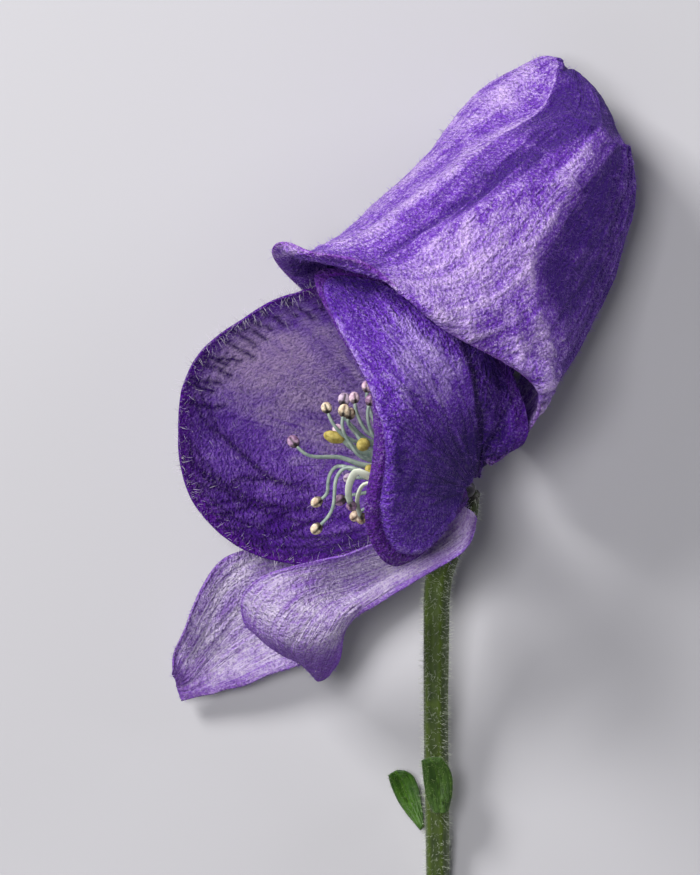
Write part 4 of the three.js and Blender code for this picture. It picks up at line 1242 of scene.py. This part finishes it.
def build_receptacle():
    profile = spline(KNOB, KNOB_STATIONS)
    radius = profile[:, 0] * (0.65 + 0.35 * smooth_step(0.8, 2, profile[:, 1]))
    points, faces = round_body(profile[:, 1:] * BUNDLE_AXIS, radius, radius, KNOB_SIDES)
    greens = (0.12, 0.16, 0.05), (0.35, 0.4, 0.18)
    skin = green_material("receptacle_skin", *greens, blush=(0.02, 0.014, 0.03))
    # Painted shade darkens the knob below its disc, where it sits among the sepals.
    blush = np.append(np.repeat(smooth_step(1.9, 0.9, profile[:, 1]), KNOB_SIDES), [1, 0])
    values = {"tone": 0.5, "blush": blush}
    item = joined_bodies("monkshood_receptacle", [(points, faces, 0, values)], [skin])
    hand_over(item, ["receptacle"])


build_receptacle()

# %% [markdown]
# Every stamen has a filament that is broad and pale where it stands on the disc, and thin and
# bluish green above. It carries an anther of two lobes. A ripe anther is split, and shows a
# dark seam and cream pollen. Each row holds the ring's radius, the turn around the axis, and
# the rest of the way to the anther. The inner stamens are hardly seen, so their rows hold only
# the radius, the turn, the length and how far they lean out.

# %% Where the stamens stand
STAMENS = [
    (1.15, 24, [(-6.4, 3, 4.4), (-8.5, 3.6, 6.2), (-9.6, 4.7, 6.9), (-10, 5.7, 7.2)]),
    (1.15, -35, [(-6.8, 2.1, 7), (-8.3, 3.1, 8.2), (-8.9, 4.3, 8.9), (-8.8, 5.5, 9.2)]),
    (1.15, -8, [(-6.6, 2.7, 5.6), (-7.9, 3.8, 6.2), (-8.5, 4.6, 6.8), (-8.4, 5.3, 7)]),
    (1.65, 13, [(-6.6, 3.3, 3.2), (-8.1, 4.3, 4.4), (-8.9, 5.3, 4.9), (-8.8, 6.3, 5)]),
    (1.65, -12, [(-6.3, 3.5, 4.6), (-7.6, 4.6, 5.4), (-8, 5.6, 5.7), (-8.1, 6.4, 5.8)]),
    (1.65, 40, [(-5.9, 3.5, 2.6), (-6.8, 5, 3), (-7.2, 6.2, 3.2), (-7.2, 7.2, 3.4)]),
    (1.65, -38, [(-5.9, 3.2, 6.6), (-7, 4.2, 7.8), (-7.2, 5.3, 8.4), (-7, 6.2, 8.8)]),
    (1.15, 66, [(-7.2, 1.7, 2.9), (-9.1, 2.3, 3.7), (-11.1, 2.4, 4.7), (-12.3, 3.4, 5)]),
    (1.65, 61, [(-7.1, 2.6, 1.9), (-8.4, 3.1, 2.9), (-9, 3.6, 3.2), (-9.5, 3.7, 3.4)]),
    (1.15, -75, [(-6.2, 2.3, 8.4), (-6.9, 2.9, 9.6), (-7.5, 3.2, 10.2)]),
    (1.15, 120, [(-7.3, 1.1, 3.5), (-9.2, 1.7, 3.4), (-9.9, 0.7, 3.2), (-10, -0.2, 2.8),
     (-10.7, -0.8, 2.6)]),
    (1.15, 165, [(-7.2, 1.2, 5.6), (-8.7, 1.6, 6), (-9.4, 0.6, 5.8), (-9.6, -1.2, 5.2),
     (-10.7, -2.6, 4.8)]),
    (1.15, -160, [(-6.8, 0.9, 7.4), (-8, 1.3, 8), (-8.5, 0.2, 7.8), (-8.3, -1, 7)]),
    (1.65, 178, [(-6.2, 0.2, 5.8), (-7.4, 0.5, 6.4), (-7.9, -0.6, 6), (-7.6, -1.9, 5)]),
    (1.65, 87, [(-6.7, 2, 1.6), (-8, 2.9, 1), (-8.7, 3.7, 0.8), (-9.2, 4.2, 0.8)]),
]
INNER_STAMENS = [
    (1.65, -66, 5.8, 2.6), (1.65, -92, 6.2, 3.2), (1.65, -116, 6.6, 2.4), (1.65, -140, 6, 2.6),
    (1.65, 110, 5.4, 1.8), (1.65, 132, 5.8, 2.6), (1.65, 152, 5, 2.6), (1.15, -118, 7, 1),
    (1.7, -163, 5, 2.5),
]
STAMEN_LOOKS = [
    "cream", "cream", "brown", "mauve", "pink", "pink", "plum", "plum", "green", "green", "cream",
    "cream", "plum", "brown", "pink", "brown", "mauve", "plum", "brown", "mauve", "plum", "brown",
    "green", "brown",
]
ANTHER_COLOURS = {
    "cream": ((0.42, 0.3, 0.2), (0.8, 0.7, 0.52)),
    "brown": ((0.22, 0.13, 0.09), (0.62, 0.5, 0.38)),
    "mauve": ((0.28, 0.2, 0.3), (0.58, 0.46, 0.58)),
    "pink": ((0.42, 0.25, 0.36), (0.72, 0.55, 0.62)),
    "plum": ((0.16, 0.07, 0.16), (0.46, 0.3, 0.44)),
    "green": ((0.27, 0.21, 0.04), (0.52, 0.43, 0.12)),
}
SEAM_COLOUR = (0.012, 0.008, 0.01)
print("stamens:", len(STAMENS) + len(INNER_STAMENS))

# %% [markdown]
# Each anther colour is a pair, mixed in soft patches, with the dark seam painted over it. The
# filaments are pale and slightly glassy.

# %% The stamens' materials


def anther_material(name, dark, light):
    material, tree, skin = new_material(name)
    space = add_node(tree, "ShaderNodeTexCoord").outputs["Object"]
    grains = add_node(tree, "ShaderNodeTexVoronoi", {"Vector": space, "Scale": 14000.0})
    patches = add_node(tree, "ShaderNodeTexNoise", {"Vector": space, "Scale": 3500.0, "Detail": 3.0})
    base = colour_mix(tree, map_range(tree, patches.outputs["Fac"], 0.35, 0.65), dark, light)
    base = colour_mix(tree, painted_value(tree, "seam"), base, SEAM_COLOUR)
    tree.links.new(base, skin.inputs["Base Color"])
    skin.inputs["Roughness"].default_value = 0.6
    skin.inputs["Specular IOR Level"].default_value = 0.35
    bump = add_node(tree, "ShaderNodeBump",
                    {"Height": grains.outputs["Distance"], "Strength": 0.6, "Distance": 0.00004})
    tree.links.new(bump.outputs["Normal"], skin.inputs["Normal"])
    return material


def filament_material():
    material, tree, skin = new_material("filament_skin")
    space = add_node(tree, "ShaderNodeTexCoord").outputs["Object"]
    patches = add_node(tree, "ShaderNodeTexNoise", {"Vector": space, "Scale": 2500.0, "Detail": 3.0})
    upper = colour_mix(tree, map_range(tree, patches.outputs["Fac"], 0.3, 0.7), (0.2, 0.28, 0.26),
                       (0.42, 0.5, 0.42))
    base = colour_mix(tree, painted_value(tree, "pale"), upper, (0.82, 0.84, 0.7))
    tree.links.new(base, skin.inputs["Base Color"])
    skin.inputs["Roughness"].default_value = 0.38
    skin.inputs["Specular IOR Level"].default_value = 0.5
    let_light_through(tree, skin, base, 0.25)
    return material


filament_skin = filament_material()
anther_skins = {}
for look, pair in ANTHER_COLOURS.items():
    anther_skins[look] = anther_material("anther_" + look, *pair)

# %% [markdown]
# Each stamen follows a smooth line from the disc to its anther. One anther is longer than the
# rest, and two of the lower filaments are broad wings almost to the top.

# %% The stamens
FILAMENT_STATIONS, FILAMENT_SIDES = 44, 14
ANTHER_STATIONS, ANTHER_SIDES = 22, 28
ANTHER_HALF = 0.47
KIDNEY = 8
BROAD = (12, 13)


def stamen_way(index):
    """The control points of one filament, and its turn around the bundle's axis."""
    if index < len(STAMENS):
        ring, turn, rest = STAMENS[index]
        foot = bundle_point(turn, BUNDLE_START, ring)
        return [foot, bundle_point(turn, BUNDLE_START + 2, ring + 0.15), *rest], turn
    ring, turn, length, spread = INNER_STAMENS[index - len(STAMENS)]
    start = BUNDLE_START
    return [
        bundle_point(turn, start, ring),
        bundle_point(turn, start + 2, ring + 0.15),
        bundle_point(turn, start + 0.62 * length, ring + 0.3 * spread),
        bundle_point(turn, start + 0.9 * length, ring + 0.7 * spread),
        bundle_point(turn, start + length, ring + spread),
    ], turn


def anther_body(centre, direction, across, look, random, stretch):
    """Two swollen lobes with a seam between them, and a split when ripe."""
    size = random.uniform(0.86, 1.02)
    if look == "green":
        size *= 1.2
    t = np.linspace(-1, 1, ANTHER_STATIONS)
    centres = centre + direction * (t * ANTHER_HALF * size * stretch)[:, None]
    profile = np.sqrt(np.clip(1 - (0.97 * t) ** 2, 0, 1)) * 0.42 * size
    angle = np.linspace(0, 2 * np.pi, ANTHER_SIDES, endpoint=False)
    lobes = 0.72 + 0.3 * np.abs(np.cos(angle)) ** 0.8
    groove = bell(np.abs(np.abs(angle - np.pi) - np.pi / 2), 0.3)
    ring = np.cos(angle), np.sin(angle)
    lumps = 1 + 0.07 * layered_noise(2.2 * ring[0], 2.2 * ring[1], t[:, None] * 3, seed=7)
    wide = profile[:, None] * lobes * lumps
    points, faces = round_body(centres, wide, wide * 0.86, ANTHER_SIDES, across)
    ripe = 0.0 if look == "green" else random.uniform(0.7, 1.0)
    base_patch = smooth_step(-0.1, -0.5, t[:, None] + 0.5 * layered_noise(*ring, 0.3 * size))
    seam = np.clip(ripe * (groove * (np.abs(t[:, None]) < 0.85) + 0.9 * base_patch), 0, 1)
    return points, faces, 1, {"seam": np.append(seam.ravel(), [0, 0]), "pale": 0.0}


def build_stamen(index):
    way, turn = stamen_way(index)
    look = STAMEN_LOOKS[index]
    random = np.random.default_rng(100 + index)
    fine = spline(way, 200)
    run = np.insert(np.cumsum(np.linalg.norm(np.diff(fine, axis=0), axis=1)), 0, 0)
    length = run[-1] - 0.3
    steps = np.linspace(0, length, FILAMENT_STATIONS)
    centres = np.stack([np.interp(steps, run, fine[:, k]) for k in range(3)], 1)
    share = steps / length
    broad = index in BROAD
    wing = bell(share, 0.75 if look == "green" or broad else 0.42)
    wing = (0.62 if broad else 0.36) * wing * (0.4 + 0.6 * smooth_step(0, 0.2, share))
    radius = 0.17 - 0.055 * share
    spoke = bundle_point(turn, 0, 1)
    across = np.cross(BUNDLE_AXIS, spoke)
    points, faces = round_body(centres, radius + wing, radius, FILAMENT_SIDES, across)
    pale = smooth_step(1.3, 0.5, share) if broad else smooth_step(0.62, 0.2, share)
    pale = np.append(np.repeat(pale, FILAMENT_SIDES), [1, 0])
    ahead, _, _ = frames_along(centres, across)
    filament = (points, faces, 0, {"seam": 0.0, "pale": pale})
    sideways = unit(np.cross(ahead[-1], (0.2, -0.3, 1)) + random.normal(0, 0.3, 3))
    stretch = 1.5 if index == KIDNEY else 1.0
    anther = anther_body(fine[-1], ahead[-1], sideways, look, random, stretch)
    node = f"stamen_{index + 1:02d}"
    skins = [filament_skin, anther_skins[look]]
    item = joined_bodies("monkshood_" + node, [filament, anther], skins)
    hand_over(item, [node])


for index in range(len(STAMENS) + len(INNER_STAMENS)):
    build_stamen(index)

# %% [markdown]
# Three slender carpels stand in the middle of the stamens, with lime green tips. The two
# nectaries are stalked spurs that arch up into the hood, where hardly anyone sees them.

# %% Carpels and nectaries
CARPEL_LENGTH = 5.2
NECTARY = [
    (0.7, 2.6, 0.7, 0.24), (2.4, 6.5, 1, 0.25), (4.8, 11.5, 1.3, 0.27), (6.4, 16, 1.5, 0.32),
    (6.8, 19, 1.6, 0.5), (6, 21.3, 1.7, 1.1), (4.4, 22.2, 1.7, 1.25), (2.9, 21.6, 1.7, 0.95),
    (2.2, 20.3, 1.7, 0.62), (2.7, 19.4, 1.7, 0.45),
]
CARPEL_STATIONS, CARPEL_SIDES = 36, 16
NECTARY_STATIONS, NECTARY_SIDES = 90, 20


def build_carpel(index):
    turn = 80 + index * 120
    way = [bundle_point(turn, BUNDLE_START + share * CARPEL_LENGTH, off)
           for share, off in ((0, 0.46), (0.4, 0.51), (0.75, 0.56), (1, 0.66))]
    centres = spline(way, CARPEL_STATIONS)
    share = np.linspace(0, 1, CARPEL_STATIONS)
    radius = 0.36 * (1 - 0.6 * share) * np.clip(6 * (1.02 - share), 0, 1) ** 0.5
    points, faces = round_body(centres, radius, radius, CARPEL_SIDES)
    tone = np.append(np.repeat(0.25 + 0.75 * share**2, CARPEL_SIDES), [0.3, 1])
    skin = green_material(f"carpel_skin_{index}", (0.2, 0.34, 0.04), (0.5, 0.68, 0.1), glow=0.25)
    values = {"tone": tone, "blush": 0.0}
    item = joined_bodies(f"monkshood_carpel_{index + 1}", [(points, faces, 0, values)], [skin])
    hand_over(item, [f"carpel_{index + 1}"])


def build_nectary(name, side):
    forward, up, sideways = np.array([(0.84, 0, -0.54), (0, 0.995, 0.1), (0.54, -0.05, 0.84)])
    way = [(*(forward * p + up * q + sideways * side * away), radius) for p, q, away, radius in NECTARY]
    fine = spline(way, NECTARY_STATIONS)
    points, faces = round_body(fine[:, :3], fine[:, 3], fine[:, 3], NECTARY_SIDES)
    tone = np.append(np.repeat(np.linspace(0, 1, NECTARY_STATIONS), NECTARY_SIDES), [0, 1])
    skin = green_material(name + "_skin", (0.3, 0.34, 0.24), (0.16, 0.12, 0.5), glow=0.1)
    values = {"tone": tone, "blush": 0.0}
    item = joined_bodies("monkshood_" + name, [(points, faces, 0, values)], [skin])
    hand_over(item, [name])


for index in range(3):
    build_carpel(index)
build_nectary("near_nectary", 1)
build_nectary("far_nectary", -1)

# %% [markdown]
# Short hairs cover the whole flower. They make the velvet, stand out along every outline, and
# are longest on the free edges and on the stalk. One small tree of nodes grows them: it
# scatters points where the painted hair value is high, stands a bent hair on each, and leans
# and sizes each hair at random.

# %% A tree of nodes that grows hair
HAIR_DEFAULTS = {"Density": 1e6, "Length": 0.0004, "Radius": 0.00002, "Bend": 0.4, "Lean": 0.5}
HALF_TURN = 3.14
SHORTEST_SHARE = 0.45


def group_input(tree, name, kind, default=None):
    socket = tree.interface.new_socket(name, in_out="INPUT", socket_type=kind)
    if default is not None:
        socket.default_value = default
    return socket.identifier


def bent_cone(tree, given):
    """One thin hair of unit height, which leans over more and more towards its tip."""
    cone = add_node(tree, "GeometryNodeMeshCone", {
        "Vertices": 3, "Side Segments": 3, "Radius Top": 0.0, "Radius Bottom": 1.0, "Depth": 1.0,
    })
    at = tree.nodes.new("GeometryNodeInputPosition")
    parts = add_node(tree, "ShaderNodeSeparateXYZ", {"Vector": at.outputs[0]}).outputs
    bent = calculate(tree, "MULTIPLY", calculate(tree, "POWER", parts["Z"], 2.0), given["Bend"])
    thin = calculate(tree, "DIVIDE", given["Radius"], given["Length"])
    x = calculate(tree, "ADD", calculate(tree, "MULTIPLY", parts["X"], thin), bent)
    y = calculate(tree, "MULTIPLY", parts["Y"], thin)
    shape = add_node(tree, "ShaderNodeCombineXYZ", {"X": x, "Y": y, "Z": parts["Z"]})
    moved = {"Geometry": cone.outputs["Mesh"], "Position": shape.outputs[0]}
    return add_node(tree, "GeometryNodeSetPosition", moved).outputs["Geometry"]


def random_lean(tree, given, standing):
    """The rotation of each hair: it stands on the skin, leans at random and turns freely."""
    lean = given["Lean"]
    back = calculate(tree, "MULTIPLY", lean, -1.0)
    low = add_node(tree, "ShaderNodeCombineXYZ", {"X": back, "Y": back, "Z": -HALF_TURN})
    high = add_node(tree, "ShaderNodeCombineXYZ", {"X": lean, "Y": lean, "Z": HALF_TURN})
    limits = {"Min": low.outputs[0], "Max": high.outputs[0], "Seed": 5}
    tilt = add_node(tree, "FunctionNodeRandomValue", limits, data_type="FLOAT_VECTOR")
    turned = add_node(tree, "FunctionNodeEulerToRotation", {"Euler": tilt.outputs[0]})
    both = {"Rotation": standing, "Rotate By": turned.outputs[0]}
    settings = {"rotation_space": "LOCAL"}
    return add_node(tree, "FunctionNodeRotateRotation", both, **settings).outputs[0]


def random_length(tree, given):
    vary = add_node(tree, "FunctionNodeRandomValue", data_type="FLOAT")
    for socket in vary.inputs:
        if socket.type == "VALUE" and socket.name in ("Min", "Max"):
            socket.default_value = SHORTEST_SHARE if socket.name == "Min" else 1.0
    return calculate(tree, "MULTIPLY", vary.outputs[1], given["Length"])


def build_hair_tree():
    tree = bpy.data.node_groups.new("grow_hair", "GeometryNodeTree")
    sockets = {"geometry": group_input(tree, "Geometry", "NodeSocketGeometry")}
    for name, default in HAIR_DEFAULTS.items():
        sockets[name] = group_input(tree, name, "NodeSocketFloat", default)
    sockets["Seed"] = group_input(tree, "Seed", "NodeSocketInt", 1)
    sockets["Material"] = group_input(tree, "Material", "NodeSocketMaterial")
    tree.interface.new_socket("Geometry", in_out="OUTPUT", socket_type="NodeSocketGeometry")
    given = tree.nodes.new("NodeGroupInput").outputs
    leave = tree.nodes.new("NodeGroupOutput")
    painted = add_node(
        tree, "GeometryNodeInputNamedAttribute", {"Name": "hair"}, data_type="FLOAT"
    )
    density = calculate(tree, "MULTIPLY", painted.outputs["Attribute"], given["Density"])
    spots = add_node(
        tree, "GeometryNodeDistributePointsOnFaces",
        {"Mesh": given["Geometry"], "Density": density, "Seed": given["Seed"]},
    )
    hair = bent_cone(tree, given)
    rotation = random_lean(tree, given, spots.outputs["Rotation"])
    grown = add_node(tree, "GeometryNodeInstanceOnPoints", {
        "Points": spots.outputs["Points"], "Instance": hair, "Rotation": rotation,
        "Scale": random_length(tree, given),
    })
    real = add_node(tree, "GeometryNodeRealizeInstances", {"Geometry": grown.outputs["Instances"]})
    dressed = add_node(
        tree, "GeometryNodeSetMaterial",
        {"Geometry": real.outputs["Geometry"], "Material": given["Material"]},
    )
    tree.links.new(dressed.outputs["Geometry"], leave.inputs["Geometry"])
    return tree, sockets


hair_tree, hair_sockets = build_hair_tree()
print("hair inputs:", list(hair_sockets))

# %% [markdown]
# The tree now grows a coat on every sepal, on the bracts and on the stalk. Hairs that would
# reach into the table are left out. The same tree scatters pollen, as very short stout hairs,
# on the two sepals that lie under the anthers.

# %% Hair on every piece
TABLE_CLEARANCE = 0.00005
# Three rings of three points, and the tip.
HAIR_POINTS = 10


def hair_material(name, colour, glow):
    material, tree, skin = new_material(name)
    skin.inputs["Base Color"].default_value = (*colour, 1)
    skin.inputs["Roughness"].default_value = 0.4
    skin.inputs["Specular IOR Level"].default_value = 0.5
    let_light_through(tree, skin, (*colour, 1), glow)
    return material


def grow_hair(source, name, material, count, length, radius, bend=0.35, lean=0.5, seed=1):
    """A coat of hair as its own piece, about `count` hairs over the source's skin."""
    area = sum(p.area for p in source.data.polygons)
    painted = np.zeros(len(source.data.vertices), np.float32)
    source.data.attributes["hair"].data.foreach_get("value", painted)
    modifier = source.modifiers.new("hair", "NODES")
    modifier.node_group = hair_tree
    settings = {"Density": count / area / max(painted.mean(), 0.01), "Length": length * MM,
                "Radius": radius * MM, "Bend": bend, "Lean": lean, "Seed": seed, "Material": material}
    for key, value in settings.items():
        modifier[hair_sockets[key]] = value
    bpy.context.view_layer.update()
    graph = bpy.context.evaluated_depsgraph_get()
    mesh = bpy.data.meshes.new_from_object(source.evaluated_get(graph))
    source.modifiers.remove(modifier)
    item = keep_above_table(mesh, name, material)
    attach(item, "root")
    print(item.name, "has", len(item.data.polygons), "faces")


def keep_above_table(mesh, name, material):
    """An object with the hairs of the mesh that stay clear of the table."""
    spots = np.zeros(len(mesh.vertices) * 3, np.float32)
    mesh.vertices.foreach_get("co", spots)
    hairs = spots.reshape(-1, HAIR_POINTS, 3)
    kept = hairs[hairs[:, :, 2].min(1) > TABLE_CLEARANCE].reshape(-1, 3)
    pattern = [tuple(p.vertices) for p in mesh.polygons if max(p.vertices) < HAIR_POINTS]
    faces = []
    for first in range(0, len(kept), HAIR_POINTS):
        faces += [tuple(i + first for i in face) for face in pattern]
    bpy.data.meshes.remove(mesh)
    fresh = bpy.data.meshes.new(name)
    fresh.from_pydata(kept.tolist(), [], faces)
    fresh.shade_smooth()
    fresh.materials.append(material)
    item = bpy.data.objects.new(name, fresh)
    bpy.context.scene.collection.objects.link(item)
    return item


violet_hair = hair_material("violet_hair", (0.3, 0.14, 0.66), 0.4)
pale_hair = hair_material("pale_hair", (0.8, 0.75, 0.85), 0.4)
white_hair = hair_material("white_hair", (0.8, 0.85, 0.72), 0.4)
grow_hair(hood, "hood_hair", violet_hair, 7000, 0.5, 0.017, bend=0.6, seed=2)
grow_hair(near_lateral, "near_lateral_hair", violet_hair, 4000, 0.4, 0.016, seed=3)
grow_hair(far_lateral, "far_lateral_hair", pale_hair, 1300, 0.95, 0.021, bend=0.3, seed=4)
grow_hair(near_lower, "near_lower_hair", violet_hair, 1500, 0.4, 0.016, seed=5)
grow_hair(far_lower, "far_lower_hair", violet_hair, 1500, 0.4, 0.016, seed=6)
grow_hair(stalk, "stalk_hair", white_hair, 3000, 0.55, 0.017, bend=0.3, lean=0.6, seed=7)
pollen = hair_material("pollen", (0.85, 0.78, 0.62), 0.1)
grow_hair(far_lateral, "far_lateral_pollen", pollen, 160, 0.09, 0.035, bend=0, lean=0.2, seed=12)
grow_hair(near_lower, "near_lower_pollen", pollen, 160, 0.09, 0.035, bend=0, lean=0.2, seed=13)
green_hair = hair_material("green_hair", (0.3, 0.42, 0.16), 0.4)
grow_hair(near_bract, "near_bract_hair", green_hair, 500, 0.35, 0.016, seed=8)
grow_hair(far_bract, "far_bract_hair", green_hair, 400, 0.3, 0.016, seed=9)
